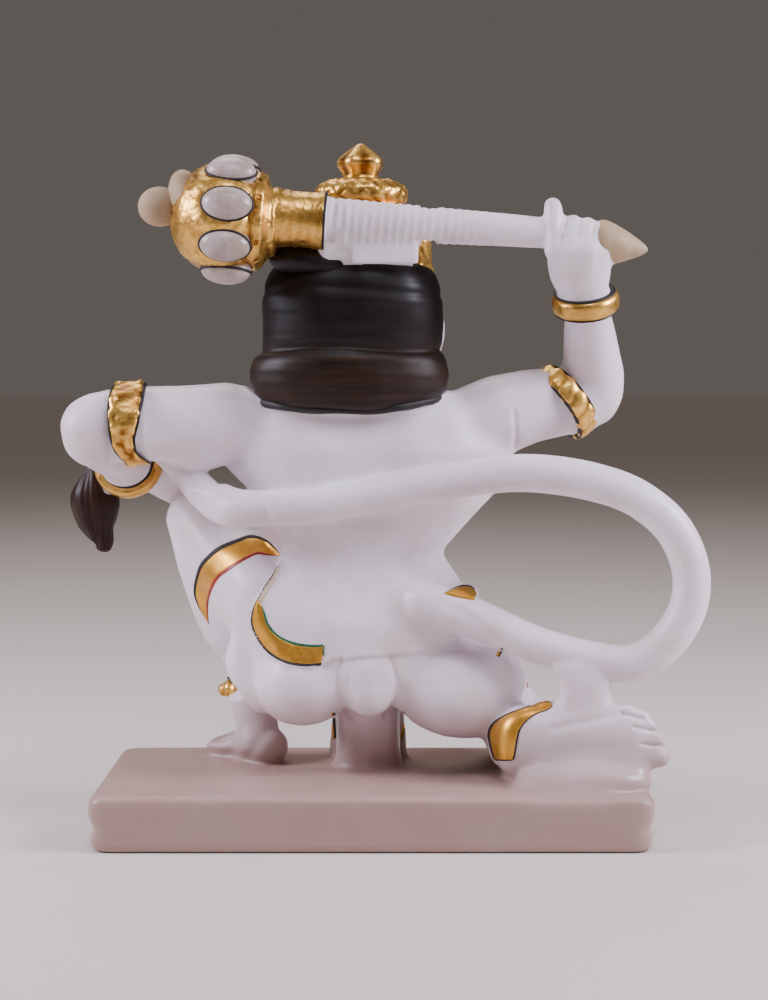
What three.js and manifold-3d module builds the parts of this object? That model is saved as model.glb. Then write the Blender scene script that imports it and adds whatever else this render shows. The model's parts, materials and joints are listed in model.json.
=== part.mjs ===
// A kneeling monkey-god figure with a mace, cut from one block of white marble together with its plinth.
// Millimetres, +Z up. The figure faces -Y and its own left is +X.
// The origin is the middle of the plinth's underside.
import * as THREE from "three";
import { LoftGeometry } from "three/addons/geometries/LoftGeometry.js";
import { mergeVertices } from "three/addons/utils/BufferGeometryUtils.js";
import Module from "manifold-3d";

// Driving dimensions
const plinthLength = 301;
const plinthDepth = 150;
const plinthHeight = 30;
const plinthCorner = 7;
const mouldingDepth = 3.2;
const edgeRounding = 5;
const figureHeight = 351;
const setForward = 4.5;
const footing = 2;

// Places on the figure are written for the drawn height, and follow figureHeight as shares of it.
const drawnHeight = 351;
const share = figureHeight / drawnHeight;
const size = (length) => length * share;
const at = (x, y, z) => new THREE.Vector3(size(x), size(y) - setForward, plinthHeight + size(z));

const alongX = new THREE.Vector3(1, 0, 0);
const alongY = new THREE.Vector3(0, 1, 0);
const alongZ = new THREE.Vector3(0, 0, 1);

const marble = new THREE.MeshStandardMaterial({ color: 0xe4dce2, roughness: 0.45, metalness: 0 });

const wasm = await Module();
wasm.setup();

// A closed three.js geometry as a solid for joining and cutting.
function solid(geometry) {
  geometry.deleteAttribute("normal");
  geometry.deleteAttribute("uv");
  const merged = mergeVertices(geometry, 1e-3);
  return new wasm.Manifold(
    new wasm.Mesh({
      numProp: 3,
      vertProperties: merged.attributes.position.array,
      triVerts: new Uint32Array(merged.index.array),
    }),
  );
}

// The joined pieces as one body, without the specks of air that rounding can leave where faces graze.
function join(pieces) {
  const bodies = wasm.Manifold.union(pieces).decompose();
  return bodies.sort((one, other) => other.volume() - one.volume())[0];
}

// One ring of an elliptical section. Power above 2 makes it squarer.
function section(centre, across, deep, halfAcross, halfDeep, sides, power = 2) {
  const squared = (value) => Math.sign(value) * Math.abs(value) ** (2 / power);
  return Array.from({ length: sides }, (_, i) => {
    const angle = (i / sides) * 2 * Math.PI;
    return centre
      .clone()
      .addScaledVector(across, halfAcross * squared(Math.cos(angle)))
      .addScaledVector(deep, halfDeep * squared(Math.sin(angle)));
  });
}

// A limb is a smooth loft through stations of [place, half width along reference, half width square to it].
function limb(stations, { sides = 12, steps = 2, reference = alongX, power = 2, round = [1, 1] } = {}) {
  const line = new THREE.CatmullRomCurve3(stations.map(([place]) => place));
  const girth = new THREE.CatmullRomCurve3(
    stations.map(([, across, deep = across]) => new THREE.Vector3(size(across), size(deep), 0)),
  );
  const ring = (t, shift = 0, shrink = 1) => {
    const tangent = line.getTangent(t);
    const across = reference.clone().addScaledVector(tangent, -reference.dot(tangent)).normalize();
    const deep = new THREE.Vector3().crossVectors(tangent, across);
    const half = girth.getPoint(t);
    const reach = Math.min(half.x, half.y) * shift;
    const centre = line.getPoint(t).addScaledVector(tangent, reach);
    return section(centre, across, deep, half.x * shrink, half.y * shrink, sides, power);
  };
  const count = steps * (stations.length - 1);
  const domeAngles = (sides > 8 ? [35, 66] : [50]).map((degrees) => (degrees * Math.PI) / 180);
  const dome = (t, way, roundness) =>
    domeAngles.map((angle) => ring(t, way * roundness * Math.sin(angle), Math.cos(angle)));
  const rings = Array.from({ length: count + 1 }, (_, i) => ring(i / count));
  if (round[0]) rings.unshift(...dome(0, -1, round[0]).reverse());
  if (round[1]) rings.push(...dome(1, 1, round[1]));
  return solid(new LoftGeometry(rings, { capStart: true, capEnd: true }));
}

// Level sections one above another, each [place, half width, half depth].
function stack(stations, { sides = 18, power = 2.2, carve = (ring) => ring } = {}) {
  const rings = stations.map(([place, halfWidth, halfDepth]) => {
    const ring = section(place, alongX, alongY, size(halfWidth), size(halfDepth), sides, power);
    return carve(ring, place, size(halfWidth));
  });
  return solid(new LoftGeometry(rings, { capStart: true, capEnd: true }));
}

// An ellipsoid, turned about X, Y and Z in degrees.
function ball(place, [halfX, halfY, halfZ], { turn = [0, 0, 0], sides = 12 } = {}) {
  const geometry = new THREE.SphereGeometry(1, sides, Math.round(sides * 0.55));
  const degrees = Math.PI / 180;
  geometry.rotateX(Math.PI / 2);
  geometry.scale(size(halfX), size(halfY), size(halfZ));
  geometry.rotateX(turn[0] * degrees).rotateY(turn[1] * degrees).rotateZ(turn[2] * degrees);
  geometry.translate(place.x, place.y, place.z);
  return solid(geometry);
}

// A turned piece: a profile of [radius, height] along axis from place, carved by swell(angle, height).
function turned(place, axis, profile, { sides = 16, swell = () => 1 } = {}) {
  const points = profile.map(([radius, height]) => new THREE.Vector2(size(radius), size(height)));
  const geometry = new THREE.LatheGeometry(points, sides);
  const vertices = geometry.attributes.position;
  for (let i = 0; i < vertices.count; i++) {
    const [x, rise, z] = [vertices.getX(i), vertices.getY(i), vertices.getZ(i)];
    const factor = swell(Math.atan2(z, x), rise / share);
    vertices.setXYZ(i, x * factor, rise, z * factor);
  }
  geometry.applyQuaternion(new THREE.Quaternion().setFromUnitVectors(alongY, axis.clone().normalize()));
  geometry.translate(place.x, place.y, place.z);
  return solid(geometry);
}

// A bangle: a closed ring around axis, with a flat outer face between two slopes.
function bangle(place, axis, radius, { width, height }) {
  const half = width / 2;
  const inner = radius - height;
  const outer = radius + height;
  const flat = half * 0.45;
  const profile = [
    [inner, -half],
    [outer, -flat],
    [outer, flat],
    [inner, half],
    [inner, -half],
  ];
  return turned(place, axis, profile, { sides: 12 });
}

// The plinth: a plain back, and a double roll along the front and both ends.
function plinth() {
  const moulding = [
    [0, 1.5],
    [0.05, 0.75],
    [0.13, 0.4],
    [0.3, 0.45],
    [0.4, 1],
    [0.5, 0.45],
    [0.62, 0.05],
    [0.72, 0],
    [0.85, 0.1],
    [0.94, 0.45],
    [1, 1.3],
  ];
  const plainBack = (level) => {
    const fromTop = Math.max(0, plinthHeight * (level - 1) + edgeRounding);
    const fromFoot = Math.max(0, edgeRounding / 2 - plinthHeight * level);
    const arc = (rise, radius) => radius - Math.sqrt(radius ** 2 - rise ** 2);
    return arc(fromTop, edgeRounding) * 0.7 + arc(fromFoot, edgeRounding / 2);
  };
  const rings = moulding.map(([level, inset]) => {
    const cut = inset * mouldingDepth;
    const halfLength = plinthLength / 2 - cut;
    const front = -plinthDepth / 2 + cut;
    const back = plinthDepth / 2 - plainBack(level);
    const corner = (x, y, fromDegrees) =>
      [0, 45, 90].map((step) => {
        const angle = ((fromDegrees + step) * Math.PI) / 180;
        return new THREE.Vector3(
          x + plinthCorner * Math.cos(angle),
          y + plinthCorner * Math.sin(angle),
          plinthHeight * level,
        );
      });
    const [right, left] = [-halfLength + plinthCorner, halfLength - plinthCorner];
    return [
      ...corner(left, back - plinthCorner, 0),
      ...corner(right, back - plinthCorner, 90),
      ...corner(right, front + plinthCorner, 180),
      ...corner(left, front + plinthCorner, 270),
    ];
  });
  return solid(new LoftGeometry(rings, { capStart: true, capEnd: true }));
}

// The trunk from the pelvis to the neck. Its sections swell at the chest muscles and the shoulder blades.
function trunk() {
  const muscleMiddle = 178;
  const muscleReach = 26;
  const chestSwell = 7;
  const bladeSwell = 3.5;
  const carve = (ring, place, halfWidth) => {
    const height = (place.z - plinthHeight) / share;
    const strength = Math.max(0, 1 - ((height - muscleMiddle) / muscleReach) ** 2);
    for (const point of ring) {
      const sideways = Math.min(1, Math.abs(point.x - place.x) / halfWidth / 0.83);
      const swell = point.y < place.y ? -chestSwell : bladeSwell;
      point.y += size(swell) * strength * Math.sin(Math.PI * sideways) ** 2;
    }
    return ring;
  };
  return stack(
    [
      [at(3, 8, 38), 22, 14],
      [at(3, 8, 45), 38, 24],
      [at(4, 8, 58), 51, 31],
      [at(4, 6, 86), 61, 33.5],
      [at(5, 2, 107), 55, 29.5],
      [at(8.5, 0, 123), 47.5, 26],
      [at(6, -1, 140), 60, 29],
      [at(0, -2, 158), 71, 33],
      [at(0, -2, 180), 80, 32],
      [at(4, -1, 198), 78, 27],
      [at(7, 0, 212), 52, 21],
      [at(10, -3, 228), 26, 20],
    ],
    { sides: 20, power: 2.25, carve },
  );
}

// The seat: two cheeks under the hem of the back cloth, and the tucked cloth between them.
function seat() {
  return [
    ball(at(36, 12, 54), [32, 30, 27], { turn: [0, 20, 0], sides: 12 }),
    ball(at(-46, 12, 48), [40, 30, 28], { turn: [0, -14, 0], sides: 12 }),
    limb(
      [
        [at(3, 26, 80), 13, 10],
        [at(2, 31, 63), 15, 11],
        [at(1.5, 29, 45), 15, 11],
      ],
      { sides: 10, steps: 1 },
    ),
  ];
}

// The pillar of marble under the seat and the cloth that hangs in front of it.
function pillar() {
  const post = limb(
    [
      [at(1, -4, 52), 16, 13],
      [at(1.5, -8, 22), 15.5, 12],
      [at(1.5, -8, -footing), 17.5, 13.5],
    ],
    { sides: 8, steps: 1, round: [0, 0] },
  );
  const panel = limb(
    [
      [at(3, -26, 78), 17, 7],
      [at(3, -32, 50), 20, 6],
      [at(2.5, -31, 22), 22, 6],
      [at(2.5, -30, -footing), 24, 7],
    ],
    { sides: 10, steps: 1, power: 3, round: [0, 0] },
  );
  const bridge = limb(
    [
      [at(2, -28, 30), 12, 14],
      [at(2, 2, 30), 12, 14],
    ],
    { sides: 10, steps: 1, round: [0, 0] },
  );
  return [post, panel, bridge];
}

// One foot: a wedge-shaped sole with five toes side by side at its tip.
function foot(heel, tread, toeLine, { halfWide, halfHigh, toes }) {
  const sole = limb(
    [
      [heel, halfWide * 0.8, halfHigh],
      [heel.clone().lerp(tread, 0.5), halfWide * 0.82, halfHigh * 0.95],
      [tread, halfWide, halfHigh * 0.72],
    ],
    { sides: 8, steps: 1, reference: toeLine.across },
  );
  const digits = toes.map(([offset, reach, radius]) => {
    const root = tread.clone().addScaledVector(toeLine.across, size(offset * 0.9));
    const tip = root
      .clone()
      .addScaledVector(toeLine.ahead, size(reach))
      .addScaledVector(toeLine.across, size(offset * 0.12));
    return limb(
      [
        [root, radius],
        [tip, radius],
      ],
      { sides: 6, steps: 1, reference: toeLine.across, round: [0, 1] },
    );
  });
  return [sole, ...digits];
}

// The left leg: knee up under the hand, foot flat on the plinth.
function leftLeg() {
  const thigh = limb(
    [
      [at(33, 8, 60), 31, 30],
      [at(57, -9, 95), 30, 35.5],
      [at(84, -32, 119), 25.5, 26],
      [at(100, -44, 138), 21, 21.5],
    ],
    { reference: alongX, round: [0, 1] },
  );
  const shin = limb(
    [
      [at(102, -46, 140), 19, 18.5],
      [at(94, -38, 116), 20.5, 20],
      [at(86, -32, 88), 18.5, 19],
      [at(74, -28, 52), 14, 14],
      [at(67, -26, 22), 12.5, 13],
      [at(66, -22, 8), 14, 15],
    ],
    { sides: 10, steps: 1, reference: alongX, round: [0, 0.5] },
  );
  const ahead = new THREE.Vector3(0.72, -0.69, 0).normalize();
  const across = new THREE.Vector3().crossVectors(alongZ, ahead);
  const footParts = foot(
    at(61, -22, 9),
    at(79, -41, 6),
    { ahead, across },
    {
      halfWide: 15,
      halfHigh: 11,
      toes: [
        [-11, 15, 6],
        [-3.5, 16, 4.6],
        [3, 14.5, 4.2],
        [8.5, 12, 3.8],
        [13, 9, 3.4],
      ],
    },
  );
  return [thigh, shin, ...footParts];
}

// The right leg: knee on the plinth, shin running back, foot turned out with its sole to the back.
function rightLeg() {
  const thigh = limb(
    [
      [at(-43, 8, 52), 33, 29],
      [at(-67, -14, 46), 28, 27],
      [at(-80, -38, 27), 21, 22],
    ],
    { reference: alongZ, round: [0, 1] },
  );
  const shin = limb(
    [
      [at(-80, -40, 18), 18, 20],
      [at(-82, -14, 20), 19, 20],
      [at(-80, 14, 20), 18, 19],
      [at(-80, 34, 22), 17, 20],
    ],
    { sides: 10, steps: 1, reference: alongX, round: [0, 0.6] },
  );
  const sole = limb(
    [
      [at(-80, 38, 22), 15, 21],
      [at(-102, 46, 22), 14, 20.5],
      [at(-126, 50, 22.5), 12, 21],
      [at(-143, 52, 24.5), 8.5, 17],
    ],
    { sides: 12, steps: 1, reference: alongY, power: 2.4, round: [0.8, 0.8] },
  );
  const toes = [
    [-151, 17, 7.6],
    [-150, 26.5, 6],
    [-146.5, 33, 5.3],
    [-142, 38.5, 4.8],
    [-135, 41.5, 4.5],
  ].map(([x, z, radius]) =>
    limb(
      [
        [at(x + 12, 51, z * 0.9 + 2), radius],
        [at(x - 3, 52, z), radius],
      ],
      { sides: 6, steps: 1, reference: alongY, round: [0, 1] },
    ),
  );
  const root = limb(
    [
      [at(-100, 46, 6), 8, 24],
      [at(-146, 48, 6), 8, 20],
    ],
    { sides: 8, steps: 1, reference: alongZ, round: [1, 0.5] },
  );
  return [thigh, shin, sole, ...toes, root];
}

// The left arm comes out level and its forearm runs forward to the knee.
function leftArm() {
  const upper = limb(
    [
      [at(56, -2, 191), 22, 22],
      [at(82, 0, 195.5), 23, 23],
      [at(106, 3, 195), 21, 21.5],
      [at(132, 8, 195), 19.5, 21.5],
      [at(154, 10, 191), 19.5, 21.5],
    ],
    { steps: 1, reference: alongY, round: [0, 1] },
  );
  const fore = limb(
    [
      [at(154, 9, 190), 19, 18.5],
      [at(151, -10, 184), 18, 17.5],
      [at(146.5, -28, 177), 15.5, 15.5],
      [at(142, -43, 170.5), 14, 14],
    ],
    { sides: 10, steps: 1, reference: alongX, round: [0, 0] },
  );
  return [upper, fore];
}

// The left hand lies over the knee with the fingers over its front.
function leftHand() {
  const palm = limb(
    [
      [at(141, -42, 170), 12.5, 11],
      [at(130, -50, 167), 14, 12],
      [at(118, -57, 162), 17, 12.5],
      [at(109, -61, 157), 15, 9],
    ],
    { sides: 10, steps: 1, reference: new THREE.Vector3(0.7, 0.7, 0).normalize() },
  );
  const acrossHand = new THREE.Vector3(0.68, 0.73, 0).normalize();
  const fingers = [-10, -3.5, 3, 9].map((offset, i) => {
    const inHand = (x, y, z) => at(x, y, z).addScaledVector(acrossHand, size(offset));
    return limb(
      [
        [inHand(111, -62, 160), 4.6],
        [inHand(101, -70 + i, 153), 4.3],
        [inHand(97, -72 + i, 142), 3.6],
      ],
      { sides: 6, steps: 1, reference: acrossHand, round: [0, 1] },
    );
  });
  const thumb = limb(
    [
      [at(120, -46, 166), 6],
      [at(106, -42, 162), 5],
    ],
    { sides: 6, steps: 1, reference: alongY, round: [0, 1] },
  );
  return [palm, ...fingers, thumb];
}

// The right arm lifts the mace: elbow out, forearm upright.
function rightArm() {
  const upper = limb(
    [
      [at(-50, -3, 190), 22, 24],
      [at(-72, -4, 200), 22, 23],
      [at(-90, -8, 205), 20.5, 21],
      [at(-107, -12, 207), 19.5, 19.5],
      [at(-122.5, -13, 209.5), 18.5, 18],
    ],
    { steps: 1, reference: alongY, round: [0, 1] },
  );
  const fore = limb(
    [
      [at(-125, -13, 208), 17, 17],
      [at(-124.5, -9, 222), 18, 18],
      [at(-121.5, 1, 242), 15.3, 15.5],
      [at(-119, 12, 256), 13, 13.3],
      [at(-117, 18, 264), 13, 13],
    ],
    { sides: 10, steps: 1, reference: alongX, round: [0, 0] },
  );
  return [upper, fore];
}

// The right fist holds the shaft with its back to the back of the figure and its thumb up.
function rightHand() {
  const palm = limb(
    [
      [at(-117, 18, 264), 13, 12],
      [at(-113, 30, 277), 17.2, 12],
      [at(-112, 37, 290), 18.8, 11],
      [at(-112.5, 36, 299), 16.5, 8],
    ],
    { sides: 10, steps: 1, reference: alongX, round: [0, 1] },
  );
  const fingers = [0, 1, 2, 3].map((i) => {
    const x = -101 - 8 * i;
    const drop = 1.4 * i;
    return limb(
      [
        [at(x, 38, 298 - drop), 4.7],
        [at(x, 28, 305 - drop), 4.7],
        [at(x, 19, 300 - drop), 4.6],
        [at(x, 19, 290 - drop), 4.3],
        [at(x, 26, 286 - drop), 3.8],
      ],
      { sides: 6, steps: 1, reference: alongX, round: [0, 0] },
    );
  });
  const thumb = limb(
    [
      [at(-99, 37, 291), 6.4],
      [at(-98.5, 36, 303), 6],
      [at(-98, 34, 312.5), 5.2],
    ],
    { sides: 7, steps: 1, reference: alongX, round: [0, 1] },
  );
  return [palm, ...fingers, thumb];
}

// The mace lies behind the crown, its head over the left shoulder.
const maceHead = at(81.5, 32, 307.5);
const maceFinial = at(112.5, 32, 311.5);
const maceCollar = at(25.6, 32, 305);
const maceAxis = maceFinial.clone().sub(maceCollar).normalize();
function mace() {
  const shaft = limb(
    [
      [at(45, 32, 306), 12.5],
      [at(26, 32, 305.5), 12.4],
      [at(-32, 32, 302.8), 9.9],
      [at(-92, 32, 298.8), 8.2],
      [at(-122, 33, 295.3), 8],
    ],
    { sides: 12, steps: 1, reference: alongY, round: [0, 0] },
  );
  const collar = turned(
    maceCollar,
    maceAxis,
    [
      [0, -0.5],
      [15.4, -0.5],
      [15.8, 3],
      [14.6, 6],
      [14.4, 17],
      [15.4, 21],
      [17, 26],
      [0, 30],
    ],
    { sides: 14 },
  );
  const lobes = 8;
  const lobeShift = (Math.PI / 180) * 14;
  const lobeSwell = 0.11;
  const headLength = 57;
  const melon = (angle, rise) => {
    const along = Math.sin(Math.PI * Math.min(1, rise / headLength)) ** 2;
    return 1 + lobeSwell * along * Math.cos(lobes * (angle - lobeShift));
  };
  const core = turned(
    maceHead.clone().addScaledVector(maceAxis, size(-headLength / 2)),
    maceAxis,
    [
      [0, 0],
      [17, 0],
      [25, 5],
      [29.5, 14],
      [31.5, 27],
      [28.5, 40],
      [21, 50],
      [12, 56],
      [0, headLength],
    ],
    { sides: 2 * lobes, swell: melon },
  );
  const finial = ball(maceFinial, [10, 10.8, 10.8], { sides: 8 });
  const pommelFoot = at(-122, 32, 293.6);
  const pommelTip = at(-149.4, 32, 289.5);
  const pommel = turned(
    pommelFoot,
    pommelTip.sub(pommelFoot),
    [
      [0, 0],
      [11.5, 0],
      [12, 5],
      [9, 14],
      [5.5, 21],
      [3, 25.5],
      [0, 26.8],
    ],
    { sides: 10 },
  );
  const web = limb(
    [
      [at(28, 22, 291), 14, 9.5],
      [at(-25, 22, 290), 14, 9.5],
    ],
    { sides: 8, steps: 1, reference: alongY, power: 5, round: [0, 0] },
  );
  return [shaft, collar, core, finial, pommel, web];
}

// The head, with a rounded muzzle, brows, eyes, ears and ear studs.
const faceMiddle = 10;
function head() {
  const place = (x, y, z) => at(faceMiddle + x, y, z);
  const skull = ball(place(0, -18, 248), [41, 38, 47], { sides: 14 });
  const jaw = ball(place(0, -34, 222), [26, 25, 18], { sides: 10 });
  const muzzle = ball(place(0, -50, 230), [21, 18, 16], { sides: 10 });
  const nose = ball(place(0, -63, 239), [7, 6, 7.5], { sides: 7 });
  const pairs = [-1, 1].flatMap((side) => [
    ball(place(15 * side, -49, 249), [9, 6, 6], { sides: 7 }),
    limb(
      [
        [place(5 * side, -55, 258), 3.4],
        [place(18 * side, -52, 262), 3.6],
        [place(30 * side, -42, 256), 2.6],
      ],
      { sides: 6, steps: 1, reference: alongZ },
    ),
    ball(place(45 * side, -19, 244), [7, 8, 15], { turn: [0, 8 * side, 0], sides: 7 }),
    turned(
      place(44 * side, -24, 224),
      new THREE.Vector3(side, -0.5, 0),
      [
        [0, 0],
        [9, 0],
        [8, 5],
        [0, 8],
      ],
      { sides: 8 },
    ),
  ]);
  return [skull, jaw, muzzle, nose, ...pairs];
}

// The hair falls to the shoulders in two rolls with a groove between them.
function hair() {
  return stack([
    [at(13, 5, 201.5), 34, 24],
    [at(13.4, 4, 205), 44, 32],
    [at(13.2, 3, 212), 52, 35.5],
    [at(13.1, 2, 222), 54.8, 37.5],
    [at(12.6, 2, 231), 53.5, 36.5],
    [at(11, 2, 237.5), 49.6, 33.6],
    [at(10.8, 2, 245), 50, 35],
    [at(10.8, 2, 262), 49.8, 35.5],
    [at(11, 1, 279), 47.5, 33.5],
    [at(11, 0, 285.5), 42, 29],
  ]);
}

// The crown: a band, a dome, a ring of petals and a pointed knob, with a peaked plate in front.
const crownFoot = at(6.3, -5, 276);
function crown() {
  const petals = 9;
  const petalSwell = 0.07;
  const onPetals = (rise) => rise > 43 && rise < 52;
  const leaves = (angle, rise) => (onPetals(rise) ? 1 + petalSwell * Math.cos(petals * angle) : 1);
  const body = turned(
    crownFoot,
    alongZ,
    [
      [0, 0],
      [39, 0],
      [39.2, 19],
      [34, 30],
      [22, 41],
      [24, 44],
      [24.6, 49],
      [19, 54.4],
      [9.8, 55.6],
      [12, 62.5],
      [8.5, 70],
      [2.4, 74.6],
      [0, 75],
    ],
    { sides: 2 * petals, swell: leaves },
  );
  const inFront = (forward, rise) =>
    crownFoot.clone().addScaledVector(alongY, -size(forward)).addScaledVector(alongZ, size(rise));
  const plate = limb(
    [
      [inFront(41, 2), 14, 4],
      [inFront(42, 20), 14, 4],
      [inFront(39, 34), 8, 3.5],
      [inFront(37, 40), 3, 2.6],
    ],
    { sides: 6, steps: 1, reference: alongX, round: [0, 0.6] },
  );
  return [body, plate];
}

// The tail leaves the lower back, loops out to the right, crosses the back and lies over the left forearm.
function tail() {
  const line = limb(
    [
      [at(-6, 16, 98), 12, 15],
      [at(-28, 29, 97), 13, 14],
      [at(-54, 34, 90), 11.2, 11.2],
      [at(-92, 38, 74.7), 9.8, 9.8],
      [at(-129, 43, 66.2), 10.2, 10.2],
      [at(-147, 44, 68), 10.4, 10.4],
      [at(-162, 45, 80.6), 10.3, 10.3],
      [at(-171, 46, 98), 10.3, 10.3],
      [at(-172, 46, 117), 10.3, 10.3],
      [at(-164, 46, 137), 10.3, 10.3],
      [at(-149.5, 46, 151.5), 10.3, 10.3],
      [at(-130, 46, 161.5), 10.3, 10.3],
      [at(-100, 44, 168), 10.3, 10.3],
      [at(-68, 41, 168.5), 10, 10],
      [at(-15, 36, 159.8), 9.8, 9.8],
      [at(28, 33, 151.4), 9.6, 9.6],
      [at(67, 28, 149.9), 9.8, 9.8],
      [at(81, 21, 152), 10, 10],
      [at(96, 8, 161), 10, 10],
      [at(107, -8, 171), 9.5, 9.5],
      [at(131, -37, 187.5), 8.5, 8.5],
      [at(146, -43, 189), 8, 8],
      [at(158, -50, 181), 7.5, 7.5],
      [at(163, -56, 168), 7.5, 7.5],
    ],
    { sides: 8, reference: alongY },
  );
  const tuft = limb(
    [
      [at(158, -58, 162), 9, 8],
      [at(164, -58, 152), 15, 11],
      [at(165, -58, 143), 15, 11],
      [at(161.5, -57, 131), 10, 8],
      [at(158, -56, 120), 4.5, 4.5],
    ],
    { sides: 9, steps: 1, reference: alongX, round: [0.6, 0.6] },
  );
  const strut = limb(
    [
      [at(-114, 44, 68), 18, 8],
      [at(-116, 44, 56), 13.5, 10],
      [at(-115, 45, 40), 17, 10],
    ],
    { sides: 10, steps: 1, reference: alongX, power: 2.6, round: [0, 0] },
  );
  return [line, tuft, strut];
}

// Armlets, bracelets and anklets.
function jewellery() {
  const axis = (x, y, z) => new THREE.Vector3(x, y, z);
  return [
    bangle(at(136, 8, 195), axis(1, 0.03, -0.05), 20.8, { width: 20, height: 2.6 }),
    bangle(at(-108, -11, 207), axis(-0.77, -0.25, 0.6), 20, { width: 12.4, height: 3 }),
    bangle(at(142, -43, 170.5), axis(-0.12, -0.94, -0.3), 15, { width: 9, height: 5.2 }),
    bangle(at(-117.2, 17, 262.5), axis(0.1, 0.4, 0.9), 13.4, { width: 12, height: 4.8 }),
    ball(at(81.5, -35, 41), [6, 8, 6.5], { sides: 8 }),
  ];
}

function figure() {
  return join([
    plinth(),
    trunk(),
    ...seat(),
    ...pillar(),
    ...leftLeg(),
    ...rightLeg(),
    ...leftArm(),
    ...leftHand(),
    ...rightArm(),
    ...rightHand(),
    ...mace(),
    ...head(),
    hair(),
    ...crown(),
    ...tail(),
    ...jewellery(),
  ]);
}

// A joined solid as a three.js mesh with the name of its node.
function meshOf(name, shape, material) {
  const { vertProperties, triVerts } = shape.getMesh();
  const geometry = new THREE.BufferGeometry();
  geometry.setAttribute("position", new THREE.BufferAttribute(new Float32Array(vertProperties), 3));
  geometry.setIndex(new THREE.BufferAttribute(new Uint32Array(triVerts), 1));
  geometry.computeVertexNormals();
  const mesh = new THREE.Mesh(geometry, material);
  mesh.name = name;
  return mesh;
}

const statue = new THREE.Group();
statue.add(meshOf("hanuman_figure", figure(), marble));

export default statue;
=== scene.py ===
import math

import bpy
import numpy as np
from mathutils import Matrix, Vector
from mathutils.bvhtree import BVHTree
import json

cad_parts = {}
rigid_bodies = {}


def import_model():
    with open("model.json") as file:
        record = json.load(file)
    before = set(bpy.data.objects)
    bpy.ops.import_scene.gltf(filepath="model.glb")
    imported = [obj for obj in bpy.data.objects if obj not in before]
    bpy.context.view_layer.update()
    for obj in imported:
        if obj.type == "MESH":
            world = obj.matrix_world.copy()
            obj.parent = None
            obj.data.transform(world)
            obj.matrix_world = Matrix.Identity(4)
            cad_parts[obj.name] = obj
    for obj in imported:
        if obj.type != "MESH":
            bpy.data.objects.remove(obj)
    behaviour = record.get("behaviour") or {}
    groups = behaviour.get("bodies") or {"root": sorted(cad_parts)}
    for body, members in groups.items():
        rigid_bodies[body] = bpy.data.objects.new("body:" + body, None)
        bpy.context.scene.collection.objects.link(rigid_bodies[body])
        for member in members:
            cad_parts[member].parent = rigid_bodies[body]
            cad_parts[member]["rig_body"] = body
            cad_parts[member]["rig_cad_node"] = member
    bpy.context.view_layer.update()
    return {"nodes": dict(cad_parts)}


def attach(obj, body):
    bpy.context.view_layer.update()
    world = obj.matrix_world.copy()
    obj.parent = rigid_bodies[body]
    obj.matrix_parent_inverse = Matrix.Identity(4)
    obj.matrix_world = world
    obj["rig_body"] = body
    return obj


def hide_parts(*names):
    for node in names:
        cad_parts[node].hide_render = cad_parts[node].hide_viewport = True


# A kneeling monkey-god figure carved from one block of white marble, gilded and painted in parts.
# Places are in millimetres on the figure, from near the middle of the plinth's top. Spots that are seen
# from the eye are in the pixels of the photograph's 768 by 1000 frame.

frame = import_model()

MM = 0.001
PLINTH_TOP = 30
SET_FORWARD = 4.5
# The photograph's eye in the frame's millimetres, how far it looks down, and its focal length in pixels
EYE = np.array([-6.6, 1114.5, 248.6])
EYE_PITCH = math.radians(3.4)
FOCAL = 1997.57
MIDDLE_X, MIDDLE_Y = 384, 500


# Places

def at(x, y, z):
    """A place on the figure, in the frame's metres."""
    return Vector((x, y - SET_FORWARD, z + PLINTH_TOP)) * MM


def on_figure(points):
    """The frame's metres as millimetres on the figure."""
    return points / MM - np.array([0, -SET_FORWARD, PLINTH_TOP])


def in_frame(points):
    """Millimetres on the figure as the frame's metres."""
    return (points + np.array([0, -SET_FORWARD, PLINTH_TOP])) * MM


def seen(points):
    """Where points in millimetres on the figure fall in the photograph."""
    away = EYE[1] - (points[:, 1] - SET_FORWARD)
    down = EYE[2] - (points[:, 2] + PLINTH_TOP)
    depth = away * math.cos(EYE_PITCH) + down * math.sin(EYE_PITCH)
    below = down * math.cos(EYE_PITCH) - away * math.sin(EYE_PITCH)
    return np.stack([MIDDLE_X - (points[:, 0] - EYE[0]) * FOCAL / depth, MIDDLE_Y + below * FOCAL / depth], 1)


def smooth_line(points, finer=8):
    """A Catmull-Rom line through the points."""
    points = np.asarray(points, float)
    ends = np.vstack([2 * points[0] - points[1], points, 2 * points[-1] - points[-2]])
    rows = []
    for i in range(len(points) - 1):
        before, start, stop, after = ends[i:i + 4]
        for t in np.arange(finer) / finer:
            rows.append(0.5 * (2 * start + (stop - before) * t
                               + (2 * before - 5 * start + 4 * stop - after) * t ** 2
                               + (3 * start - before - 3 * stop + after) * t ** 3))
    return np.array(rows + [points[-1]])


def evenly(line, count):
    """The line again, as that many points at equal steps along it."""
    steps = np.linalg.norm(np.diff(line, axis=0), axis=1)
    run = np.concatenate([[0], np.cumsum(steps)])
    wanted = np.linspace(0, run[-1], count)
    return np.stack([np.interp(wanted, run, line[:, k]) for k in range(line.shape[1])], 1)


def line_distance(spots, line):
    """How far each spot is from a line of points."""
    nearest = np.full(len(spots), 1e9)
    for start, stop in zip(line[:-1], line[1:]):
        along = stop - start
        share = np.clip((spots - start) @ along / (along @ along + 1e-12), 0, 1)
        nearest = np.minimum(nearest, np.linalg.norm(spots - start - share[:, None] * along, axis=1))
    return nearest


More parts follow.
